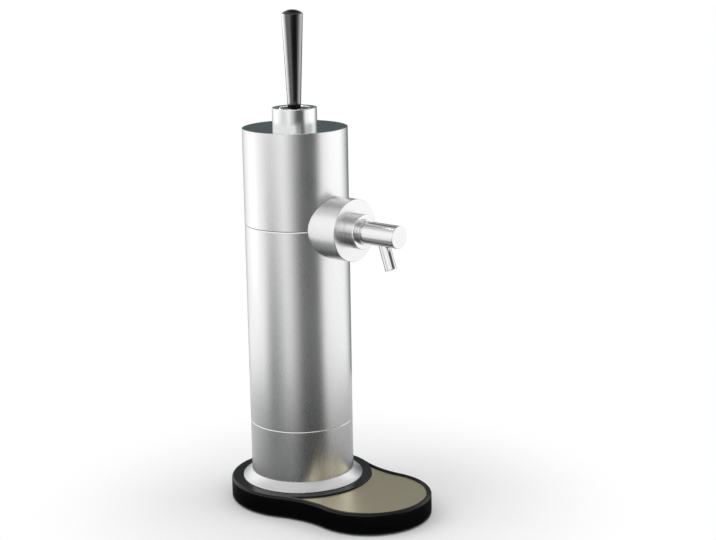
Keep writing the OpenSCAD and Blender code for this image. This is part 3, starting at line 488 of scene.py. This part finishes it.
def lathe_lines():
    """Fine lines left by a turning tool: one-dimensional noise of (distance from the axis + distance
    along it), so they are rings on a flat face and rings round a side."""
    tree, given, out = new_group("Lathe lines", [
        ("Centre", "NodeSocketVector", (0, 0, 0)), ("Across", "NodeSocketVector", (1, 1, 0)),
        ("Along", "NodeSocketVector", (0, 0, 1)), ("Lines per metre", "NodeSocketFloat", 6000.0)], "Line")
    place = add(tree, "ShaderNodeTexCoord")
    offset = add(tree, "ShaderNodeVectorMath", operation="SUBTRACT")
    flat = add(tree, "ShaderNodeVectorMath", operation="MULTIPLY")
    radius = add(tree, "ShaderNodeVectorMath", operation="LENGTH")
    travel = add(tree, "ShaderNodeVectorMath", operation="DOT_PRODUCT")
    total = add(tree, "ShaderNodeMath", operation="ADD")
    count = add(tree, "ShaderNodeMath", operation="MULTIPLY")
    noise = add(tree, "ShaderNodeTexNoise", noise_dimensions="1D", values={"Scale": 1.0, "Detail": 3.0})
    link = tree.links.new
    link(place.outputs["Object"], offset.inputs[0])
    link(given.outputs["Centre"], offset.inputs[1])
    link(offset.outputs[0], flat.inputs[0])
    link(given.outputs["Across"], flat.inputs[1])
    link(flat.outputs[0], radius.inputs[0])
    link(offset.outputs[0], travel.inputs[0])
    link(given.outputs["Along"], travel.inputs[1])
    link(radius.outputs["Value"], total.inputs[0])
    link(travel.outputs["Value"], total.inputs[1])
    link(total.outputs[0], count.inputs[0])
    link(given.outputs["Lines per metre"], count.inputs[1])
    link(count.outputs[0], noise.inputs["W"])
    link(noise.outputs["Fac"], out.inputs["Line"])
    return tree


def stretched_grain():
    """Brushed metal, moulded grain or clouds: noise of the place, stretched by its own factor each way."""
    tree, given, out = new_group("Stretched grain", [
        ("Stretch", "NodeSocketVector", (1000, 1000, 1000)), ("Detail", "NodeSocketFloat", 3.0)], "Grain")
    place = add(tree, "ShaderNodeTexCoord")
    scale = add(tree, "ShaderNodeVectorMath", operation="MULTIPLY")
    noise = add(tree, "ShaderNodeTexNoise", values={"Scale": 1.0})
    link = tree.links.new
    link(place.outputs["Object"], scale.inputs[0])
    link(given.outputs["Stretch"], scale.inputs[1])
    link(scale.outputs[0], noise.inputs["Vector"])
    link(given.outputs["Detail"], noise.inputs["Detail"])
    link(noise.outputs["Fac"], out.inputs["Grain"])
    return tree


def worn_edge():
    """Wear along rounded corners: the piece's own edge attribute, broken up by noise of the place."""
    tree, given, out = new_group("Worn edge", [("Amount", "NodeSocketFloat", 1.0)], "Wear")
    mark = add(tree, "ShaderNodeAttribute", attribute_name="edge")
    place = add(tree, "ShaderNodeTexCoord")
    noise = add(tree, "ShaderNodeTexNoise", values={"Scale": 220.0, "Detail": 3.0})
    patchy = add(tree, "ShaderNodeMapRange", values={1: 0.35, 2: 0.65})
    first = add(tree, "ShaderNodeMath", operation="MULTIPLY")
    second = add(tree, "ShaderNodeMath", operation="MULTIPLY")
    link = tree.links.new
    link(place.outputs["Object"], noise.inputs["Vector"])
    link(noise.outputs["Fac"], patchy.inputs[0])
    link(mark.outputs["Fac"], first.inputs[0])
    link(patchy.outputs[0], first.inputs[1])
    link(first.outputs[0], second.inputs[0])
    link(given.outputs["Amount"], second.inputs[1])
    link(second.outputs[0], out.inputs["Wear"])
    return tree


LATHE, GRAIN, WEAR = lathe_lines(), stretched_grain(), worn_edge()
print("groups:", [g.name for g in (LATHE, GRAIN, WEAR)])

# %% [markdown]
# ## One recipe for the finishes
# A finish is a pattern that shifts the colour between two near tones, a roughness that follows the same
# pattern, is dulled by smudges and polished by wear, and a very small bump. What differs is the pattern
# and the numbers, so one recipe makes them all. The numbers that don't vary are set on the shader itself.

# %% Recipe


def use(tree, group, **values):
    """Places a group with its own values."""
    node = add(tree, "ShaderNodeGroup", node_tree=group)
    for key, value in values.items():
        node.inputs[key.replace("_", " ")].default_value = value
    return node.outputs[0]


def finish(name, dark, light, pattern, rough, bump=0.0, smudge=0.0, wear=0.0, metal=0.0, **shader):
    """pattern(tree) gives a value about 0.5; rough is (low, high) over it. Bump is in metres."""
    material = bpy.data.materials.new(name)
    material.use_nodes = True
    tree = material.node_tree
    link = tree.links.new
    bsdf = tree.nodes["Principled BSDF"]
    bsdf.inputs["Metallic"].default_value = metal
    for key, amount in shader.items():
        bsdf.inputs[key.replace("_", " ")].default_value = amount
    value = pattern(tree)
    tone = add(tree, "ShaderNodeMix", data_type="RGBA")
    tone.inputs["A"].default_value, tone.inputs["B"].default_value = (*dark, 1), (*light, 1)
    spread = add(tree, "ShaderNodeMapRange", values={1: 0.3, 2: 0.7})
    link(value, spread.inputs[0])
    link(spread.outputs[0], tone.inputs["Factor"])
    link(tone.outputs["Result"], bsdf.inputs["Base Color"])
    grade = add(tree, "ShaderNodeMapRange", values={1: 0.3, 2: 0.7, 3: rough[0], 4: rough[1]})
    link(value, grade.inputs[0])
    cloud = add(tree, "ShaderNodeMapRange", values={1: 0.45, 2: 0.75, 4: smudge})
    link(use(tree, GRAIN, Stretch=(34, 34, 22), Detail=5.0), cloud.inputs[0])
    dulled = add(tree, "ShaderNodeMath", operation="ADD")
    link(grade.outputs[0], dulled.inputs[0])
    link(cloud.outputs[0], dulled.inputs[1])
    polished = add(tree, "ShaderNodeMath", operation="SUBTRACT")
    link(dulled.outputs[0], polished.inputs[0])
    link(use(tree, WEAR, Amount=wear), polished.inputs[1])
    link(polished.outputs[0], bsdf.inputs["Roughness"])
    if bump:
        relief = add(tree, "ShaderNodeBump", values={"Strength": 0.5, "Distance": bump})
        link(value, relief.inputs["Height"])
        link(relief.outputs["Normal"], bsdf.inputs["Normal"])
    return material


def brushed(*stretch):
    """Lines: grain with this many cells to the metre along x, y and z."""
    return lambda tree: use(tree, GRAIN, Stretch=stretch, Detail=3.0)


def moulded(size):
    """Even grain of this size in metres."""
    return lambda tree: use(tree, GRAIN, Stretch=(1 / size,) * 3, Detail=2.0)


def lathed(centre, along, lines):
    """Lathe lines about an axis through centre, so many to the metre."""
    axis = (1, 0, 0) if along == "x" else (0, 0, 1)
    across = tuple(1 - c for c in axis)
    place = tuple(c * MM for c in centre)
    return lambda tree: use(tree, LATHE, Centre=place, Across=across, Along=axis, Lines_per_metre=lines)


def grey(value, warm=0.0):
    """A grey, or a slightly warm one."""
    return value * (1 + warm), value, value * (1 - warm)


def turned_metal(name, centre, along, rough, bump):
    """Bright metal with fine rings from the lathe."""
    return finish(name, grey(0.88), grey(0.92), lathed(centre, along, 5200), rough, bump=bump, smudge=0.03,
                  wear=0.05, metal=1.0)


# %% [markdown]
# ## The finishes
# The column is satin aluminium with hairlines along it. Tap, collar and foot ring show faint rings from
# the lathe: hub, barrel and spout are polished, the collar a little less, and boss and foot ring are
# nearly satin. The top disc is a glossy metal, the drip plate a warm satin one. Base and handle are black
# plastic, the handle the glossier. The rest is for what hides inside.

# %% Finishes
FINISHES = {
    "column_metal": finish("Satin column metal", grey(0.893), grey(0.9), brushed(3000, 3000, 30),
                           (0.266, 0.276), bump=3e-7, smudge=0.03, wear=0.1, metal=1.0),
    "polished_metal": turned_metal("Polished tap metal", TAP, "x", (0.13, 0.18), 2e-6),
    "satin_boss": turned_metal("Satin boss metal", TAP, "x", (0.24, 0.29), 2e-6),
    "polished_round": turned_metal("Polished ring metal", COLUMN, "z", (0.26, 0.31), 3e-6),
    "polished_collar": turned_metal("Polished collar metal", COLUMN, "z", (0.19, 0.24), 3e-6),
    "top_metal": finish("Glossy disc metal", (0.72, 0.75, 0.76), (0.78, 0.81, 0.82),
                        lathed(COLUMN, "z", 1400), (0.1, 0.15), bump=3e-6, smudge=0.03, metal=1.0),
    "plate_metal": finish("Warm plate metal", (0.72, 0.64, 0.45), (0.81, 0.73, 0.54),
                          brushed(30, 1500, 1500), (0.28, 0.38), bump=4e-6, smudge=0.05, wear=0.1, metal=1.0),
    "base_black": finish("Black base plastic", grey(0.0015), grey(0.0025), moulded(0.0006), (0.17, 0.22),
                         bump=3e-6, smudge=0.08, wear=0.06, Specular_IOR_Level=0.35),
    "grip_black": finish("Black handle plastic", grey(0.002), grey(0.003), moulded(0.001), (0.16, 0.2),
                         bump=2e-6, smudge=0.04, wear=0.03, Specular_IOR_Level=0.75),
    "inner_plastic": finish("Black inner plastic", grey(0.018), grey(0.026), moulded(0.0004), (0.42, 0.55),
                            bump=8e-6, smudge=0.05),
    "white_plastic": finish("White inner plastic", grey(0.74, 0.01), grey(0.8, 0.01), moulded(0.0005),
                            (0.4, 0.5), bump=6e-6, smudge=0.05),
    "amber_plastic": finish("Amber slider plastic", (0.6, 0.36, 0.03), (0.68, 0.43, 0.05), moulded(0.0005),
                            (0.35, 0.45), bump=6e-6),
    "board_green": finish("Green board laminate", (0.01, 0.07, 0.03), (0.02, 0.1, 0.045),
                          brushed(900, 900, 900), (0.3, 0.4), bump=6e-6),
    "black_rubber": finish("Black rubber", grey(0.014), grey(0.022), moulded(0.0003), (0.7, 0.85),
                           bump=2e-5, smudge=0.05),
    "hose_silicone": finish("Milky silicone", grey(0.6, 0.02), grey(0.68, 0.02), moulded(0.003),
                            (0.35, 0.45), bump=6e-6, Subsurface_Weight=0.3),
    "steel": finish("Plain steel", grey(0.5), grey(0.58), brushed(1200, 1200, 60), (0.22, 0.32), bump=4e-6,
                    smudge=0.05, metal=1.0),
    "brass": finish("Plain brass", (0.62, 0.44, 0.16), (0.7, 0.52, 0.22), brushed(900, 900, 90),
                    (0.22, 0.32), bump=4e-6, smudge=0.05, metal=1.0),
    "cell_jacket": finish("Cell jacket", (0.3, 0.22, 0.07), (0.36, 0.27, 0.1), brushed(60, 60, 500),
                          (0.25, 0.32), metal=0.6),
    "ceramic": finish("Fired ceramic", (0.66, 0.63, 0.52), (0.74, 0.7, 0.6), moulded(0.0007), (0.3, 0.42),
                      bump=5e-6),
}
print("finishes:", len(FINISHES))

# %% [markdown]
# Every node now takes the finish that the record names for it, on its new skin where it has one and else
# on the solid itself. Three polished pieces take a version of their own: collar and foot ring because
# their rings turn about the column's axis, the boss because it is nearly satin.

# %% Dress every piece
VERSIONS = {"handle_collar": "polished_collar", "foot_flange": "polished_round", "tap_boss": "satin_boss"}
slot_of = {s["node"]: s["material_slot"] for s in frame["record"]["subparts"]}
skins = {o.get("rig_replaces")[0]: o for o in bpy.context.scene.objects if "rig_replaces" in o}
for node, solid in frame["nodes"].items():
    shown = skins.get(node, solid)
    shown.data.materials.clear()
    shown.data.materials.append(FINISHES[VERSIONS.get(node, slot_of[node])])
print("dressed:", len(frame["nodes"]), "of which new skins:", len(skins))

# %% [markdown]
# ## Studio
# The object stands on a pale floor in a white room, which reflections see a little greyer overhead. Light
# Path tells the rays apart: the camera sees plain white, gloss and clear pieces see the white with the
# grey overhead, and all other rays get a soft light. The floor is shaded near the object, so its shadow
# stays, and is plain white further off.

# %% World


def ray_kinds(tree):
    """Two values: 1 for rays off gloss or through clear pieces, and 1 for those and the camera's own."""
    rays = add(tree, "ShaderNodeLightPath")
    mirrored = add(tree, "ShaderNodeMath", operation="MAXIMUM")
    seen = add(tree, "ShaderNodeMath", operation="MAXIMUM")
    tree.links.new(rays.outputs["Is Glossy Ray"], mirrored.inputs[0])
    tree.links.new(rays.outputs["Is Transmission Ray"], mirrored.inputs[1])
    tree.links.new(rays.outputs["Is Camera Ray"], seen.inputs[0])
    tree.links.new(mirrored.outputs[0], seen.inputs[1])
    return mirrored.outputs[0], seen.outputs[0]


world = bpy.data.worlds.new("Studio")
bpy.context.scene.world = world
world.use_nodes = True
tree = world.node_tree
link = tree.links.new
tree.nodes.clear()
mirrored, seen = ray_kinds(tree)
soft = add(tree, "ShaderNodeBackground", values={"Color": (1, 1, 1, 1), "Strength": 0.75})
white = add(tree, "ShaderNodeBackground", values={"Strength": 1.0})
look = add(tree, "ShaderNodeTexCoord")
parts = add(tree, "ShaderNodeSeparateXYZ")
ceiling = add(tree, "ShaderNodeValToRGB")
for place, shade in ((0.22, 1.0), (0.54, 1.0), (0.68, 0.62), (0.97, 0.6)):
    stop = ceiling.color_ramp.elements.new(place)
    stop.color = (shade, shade, shade, 1)
for end in (0, -1):
    ceiling.color_ramp.elements.remove(ceiling.color_ramp.elements[end])
tint = add(tree, "ShaderNodeMix", data_type="RGBA")
tint.inputs["A"].default_value = (1, 1, 1, 1)
chosen = add(tree, "ShaderNodeMixShader")
out = add(tree, "ShaderNodeOutputWorld")
link(look.outputs["Generated"], parts.inputs[0])
link(parts.outputs["Z"], ceiling.inputs[0])
link(mirrored, tint.inputs["Factor"])
link(ceiling.outputs[0], tint.inputs["B"])
link(tint.outputs["Result"], white.inputs["Color"])
link(seen, chosen.inputs[0])
link(soft.outputs[0], chosen.inputs[1])
link(white.outputs[0], chosen.inputs[2])
link(chosen.outputs[0], out.inputs["Surface"])
print("world nodes:", len(tree.nodes))

# %% Floor


def stage_piece(name, points, material, **rows):
    """A stage surface from a grid in metres."""
    co, quads, _ = patch(points, **rows)
    mesh = bpy.data.meshes.new(name)
    mesh.from_pydata(co.tolist(), [], quads.tolist())
    mesh.materials.append(material)
    obj = bpy.data.objects.new(name, mesh)
    bpy.context.scene.collection.objects.link(obj)
    return obj


floor_paint = bpy.data.materials.new("Pale floor")
floor_paint.use_nodes = True
tree = floor_paint.node_tree
link = tree.links.new
bsdf = tree.nodes["Principled BSDF"]
bsdf.inputs["Base Color"].default_value = (0.96, 0.96, 0.96, 1)
bsdf.inputs["Roughness"].default_value = 0.9
bsdf.inputs["Specular IOR Level"].default_value = 0.0
place = add(tree, "ShaderNodeTexCoord")
away = add(tree, "ShaderNodeVectorMath", operation="LENGTH")
far = add(tree, "ShaderNodeMapRange", interpolation_type="SMOOTHSTEP", values={1: 0.09, 2: 0.26})
share_far = add(tree, "ShaderNodeMath", operation="MULTIPLY")
glow = add(tree, "ShaderNodeEmission", values={"Color": (1, 1, 1, 1), "Strength": 1.0})
chosen = add(tree, "ShaderNodeMixShader")
link(place.outputs["Object"], away.inputs[0])
link(away.outputs["Value"], far.inputs[0])
link(far.outputs[0], share_far.inputs[0])
link(ray_kinds(tree)[1], share_far.inputs[1])
link(share_far.outputs[0], chosen.inputs[0])
link(bsdf.outputs[0], chosen.inputs[1])
link(glow.outputs[0], chosen.inputs[2])
link(chosen.outputs[0], tree.nodes["Material Output"].inputs["Surface"])

ring_a = np.linspace(0, 2 * np.pi, 64, endpoint=False)
ring_r = np.r_[0.0, np.geomspace(0.05, 60.0, 24)][:, None]
floor_grid = np.stack(np.broadcast_arrays(ring_r * np.cos(ring_a), ring_r * np.sin(ring_a), 0.0), -1)
stage_piece("floor", floor_grid, floor_paint, wrap_columns=True)
print("floor:", floor_grid.shape[0], "rings out to", round(ring_r[-1, 0]), "m")

# %% [markdown]
# The camera looks down a little from the front right. Directions in the studio are counted from it: 0 is
# towards the camera, 90 to its right, 180 behind the object.

# %% Camera
TURN, TIP, ROLL = math.radians(40.989), math.radians(77.018), math.radians(-0.902)
camera_data = bpy.data.cameras.new("camera")
camera_data.lens, camera_data.sensor_width, camera_data.sensor_fit = 79.77, 36.0, "HORIZONTAL"
camera_data.clip_end = 200.0
camera = bpy.data.objects.new("camera", camera_data)
aim = Matrix.Rotation(TURN, 4, "Z") @ Matrix.Rotation(TIP, 4, "X") @ Matrix.Rotation(ROLL, 4, "Z")
camera.matrix_world = Matrix.Translation((0.8358, -0.9241, 0.4847)) @ aim
bpy.context.scene.collection.objects.link(camera)
bpy.context.scene.camera = camera
TO_CAMERA, TO_RIGHT = np.array([0.6559, -0.7549, 0.0]), np.array([0.757, 0.653, 0.0])
print("camera at", tuple(round(c, 3) for c in camera.matrix_world.translation), "lens", camera_data.lens)

# %% [markdown]
# Two large soft lamps light the object from the left and from the right. Neither shows in reflections,
# because the cards below are made for that.

# %% Lamps


def bearing(degrees, rise=0.0):
    """Unit direction at this bearing from the camera and this many degrees above the floor."""
    a, e = math.radians(degrees), math.radians(rise)
    return (math.cos(a) * TO_CAMERA + math.sin(a) * TO_RIGHT) * math.cos(e) + np.array([0, 0, math.sin(e)])


def lamp(name, degrees, rise, distance, wide, tall, radiance):
    """A soft lamp that looks at the column; even radiance L over an area A takes L A pi watts."""
    data = bpy.data.lights.new(name, "AREA")
    data.shape, data.size, data.size_y = "RECTANGLE", wide, tall
    data.energy = radiance * wide * tall * math.pi
    obj = bpy.data.objects.new(name, data)
    obj.location = Vector(np.array([AXIS_X * MM, 0, 0.17]) + distance * bearing(degrees, rise))
    obj.rotation_euler = Vector(-bearing(degrees, rise)).to_track_quat("-Z", "Y").to_euler()
    obj.visible_camera = obj.visible_glossy = False
    bpy.context.scene.collection.objects.link(obj)
    print(f"{name}: {data.energy:.1f} W at bearing {degrees}")


lamp("left lamp", -80, 36, 2.2, 1.8, 1.8, 1.1)
lamp("right lamp", 95, 34, 2.2, 1.6, 1.6, 0.8)

# %% [markdown]
# Polished metal shows what stands round it, so a photographer sets up cards. The cards here are seen by
# reflections only and hide the white room behind them by a share that fades at their sides. Each is a fan
# about the column's axis, given by a middle bearing and how far it goes to the left and to the right.

# %% Card helpers


def card(name, points, cover, shade, strength=1.0, inner=False):
    """A card seen by reflections only. It covers what lies behind it by the share that cover gives at each
    point of its grid. An inner one shows on the side towards the column only."""
    paint = bpy.data.materials.new(name)
    paint.use_nodes = True
    tree = paint.node_tree
    tree.nodes.remove(tree.nodes["Principled BSDF"])
    share = add(tree, "ShaderNodeAttribute", attribute_name="cover").outputs["Fac"]
    clear = add(tree, "ShaderNodeBsdfTransparent")
    shine = add(tree, "ShaderNodeEmission", values={"Color": (*shade, 1), "Strength": strength})
    mix = add(tree, "ShaderNodeMixShader")
    if inner:
        front = add(tree, "ShaderNodeMath", operation="SUBTRACT", use_clamp=True)
        tree.links.new(share, front.inputs[0])
        tree.links.new(add(tree, "ShaderNodeNewGeometry").outputs["Backfacing"], front.inputs[1])
        share = front.outputs[0]
    tree.links.new(share, mix.inputs[0])
    tree.links.new(clear.outputs[0], mix.inputs[1])
    tree.links.new(shine.outputs[0], mix.inputs[2])
    tree.links.new(mix.outputs[0], tree.nodes["Material Output"].inputs["Surface"])
    obj = stage_piece(name, points, paint)
    layer = obj.data.attributes.new("cover", "FLOAT", "POINT")
    layer.data.foreach_set("value", np.broadcast_to(cover, points.shape[:2]).reshape(-1).astype(np.float32))
    obj.visible_camera = obj.visible_diffuse = obj.visible_shadow = obj.visible_transmission = False
    print(f"{name}: {points.shape[0]} x {points.shape[1]} points, covers up to {np.max(cover):.2f}")


def fan(middle, left, right, radii, heights, count=33):
    """A grid of bearings about the middle one, along a path of radii and heights out from the column."""
    a = np.radians(middle + np.linspace(-left, right, count))
    ring = np.cos(a)[:, None] * TO_CAMERA + np.sin(a)[:, None] * TO_RIGHT
    path = np.array([AXIS_X * MM, 0, 0]) + np.asarray(heights)[:, None] * np.array([0, 0, 1.0])
    return path[:, None] + np.asarray(radii)[:, None, None] * ring


def upright(middle, left, right, radius, low, high):
    """A fan that stands at one radius, in 9 rows."""
    return fan(middle, left, right, np.full(9, radius), np.linspace(low, high, 9))


def sweep(middle, left, right, near, far, height):
    """A fan that lies on the floor from near to far, in 8 rows, and then stands up to height, in 6."""
    return fan(middle, left, right, np.r_[np.linspace(near, far, 8), np.full(6, far)],
               np.r_[np.full(8, 0.003), np.linspace(0, height, 7)[1:]])


def soft_sides(left, strength=1.0, count=33, right=None):
    """Full in the middle of a card, fading to nothing at both sides: the larger the number, the sharper.
    The right side is like the left one unless it has a number of its own."""
    across = np.linspace(-1, 1, count)
    sides = np.where(across < 0, left * (1 + across), (right or left) * (1 - across))
    return strength * np.clip(sides, 0, 1)


# %% [markdown]
# Dark cards draw the dark bands. The front one makes the band down the column, the left two shade its left
# side, the right one shades the tap, and the back one is what the top disc and the collar's rim mirror.
# The two high ones shade the upper sides of the tap.

# %% Dark cards
COOL = np.array([0.94, 1.0, 0.99])
row_cover = [0.95, 0.86, 0.87, 0.96, 1, 1, 0.9, 0.9]
row_left = [1.3, 1.3, 1.3, 1.45, 1.7, 1.7, 1.7, 1.7]
front_floor = np.stack([share * soft_sides(left, right=3.0) for share, left in zip(row_cover, row_left)])
front_across = np.interp(np.linspace(-25, 60, 33), [0, 15, 45, 60], [0, 1, 1, 0])
front_wall = np.array([1, 1, 1, 1, 0.8, 0])[:, None] * front_across
card("front card", sweep(18, 43, 42, 0.13, 2.9, 0.95), np.r_[front_floor, front_wall], 0.04 * COOL)
card("left card", sweep(-56, 26, 26, 0.13, 2.2, 0.2),
     np.r_[np.linspace(0.9, 0.4, 5), np.full(9, 0.33)][:, None] * soft_sides(1.3, 0.95), 0.2 * COOL)
card("left near card", fan(-42, 30, 26, [0.12, 0.25, 0.4, 0.75, 1.0, 1.4, 1.8], np.full(7, 0.0045)),
     np.array([0.2, 0.4, 0.42, 0.4, 0.28, 0.2, 0])[:, None] * soft_sides(1.6), 0.1 * COOL)
card("right card", upright(58, 30, 50, 2.4, 0.62, 1.5),
     soft_sides(3.0, count=9)[:, None] * soft_sides(3.0), 0.05 * COOL)
card("back card", sweep(176, 54, 46, 0.35, 2.4, 1.1), soft_sides(1.5), (0.084, 0.102, 0.107))
card("front high card", upright(30, 45, 45, 2.4, 1.7, 4.4),
     soft_sides(2.5, count=9)[:, None] * soft_sides(2.0, 0.65), 0.08 * COOL)
card("back high card", upright(178, 36, 30, 2.4, 1.0, 8.0),
     soft_sides(4.0, count=9)[:, None] * soft_sides(2.5, 0.95), 0.04 * COOL)

# %% [markdown]
# Bright cards draw the light edges. Two stand far off and brighten the column's sides. Two small ones stand
# close round the handle, because black plastic mirrors little and needs a strong light for its edges. They
# show on their inner side only, which keeps them out of most other reflections.

# %% Bright cards
card("left bright card", sweep(-107, 16, 16, 0.8, 2.0, 0.2), soft_sides(2.5), np.ones(3), 1.3)
card("right bright card", sweep(100, 30, 24, 1.45, 2.4, 0.1),
     np.r_[np.linspace(0, 1, 3), np.ones(11)][:, None] * soft_sides(2.5), np.ones(3), 1.25)
handle_cover = np.interp(np.linspace(-106, -11, 33), [-106, -97, -65, -53, -46, -17, -11],
                         [0, 1, 1, 0.45, 0.15, 0.15, 0])
card("handle left card", upright(-58.5, 47.5, 47.5, 0.012, 0.328, 0.404), handle_cover, np.ones(3), 8.0,
     inner=True)
card("handle right card", upright(78, 34, 28, 0.012, 0.328, 0.404), soft_sides(1.4), np.ones(3), 4.8,
     inner=True)

# %% [markdown]
# The floor's white would shine up into the column's foot. A ground card darkens it for reflections round
# the object, and a foot card along the base's own outline does so most where the two meet. Both are painted
# shade: they stand for the object's own shadow on the floor, as the metal mirrors it.

# %% Shade on the floor
# Painted shade: the ground card stands for the object's shadow on the floor round it, seen in reflections.
ground_a, ground_r = np.linspace(0, 360, 65), np.linspace(0.06, 0.46, 20)
ground_way = np.interp(ground_a, [0, 20, 80, 130, 180, 230, 274, 320, 360],
                       [0.85, 0.85, 0.65, 0.6, 0.4, 0.48, 0.75, 0.85, 0.85])
card("ground card", fan(0, 0, 360, ground_r, np.full(20, 0.0015), 65),
     np.clip((0.46 - ground_r) / 0.18, 0, 1)[:, None] * ground_way, 0.06 * COOL)
# Painted shade: the foot card follows the base's outline and stands for its shadow on the floor.
foot_shade_reach = np.linspace(1, 52, 12)
foot_shade = np.stack([level(outline(-d)[0], 2.2) for d in foot_shade_reach]) * MM
from_axis = foot_shade - [AXIS_X * MM, 0, 0]
foot_shade_facing = from_axis @ TO_CAMERA / np.linalg.norm(from_axis, axis=-1)
foot_shade_cover = np.clip((52 - foot_shade_reach) / 20, 0, 1)[:, None] * np.clip(0.78 + 0.3 * foot_shade_facing, 0, 1)
card("foot card", foot_shade, foot_shade_cover, 0.01 * COOL)

# %% [markdown]
# ## Finish
# Colours are shown as they are written, so the view transform is Standard.

# %% Finish
bpy.context.scene.view_settings.view_transform = "Standard"
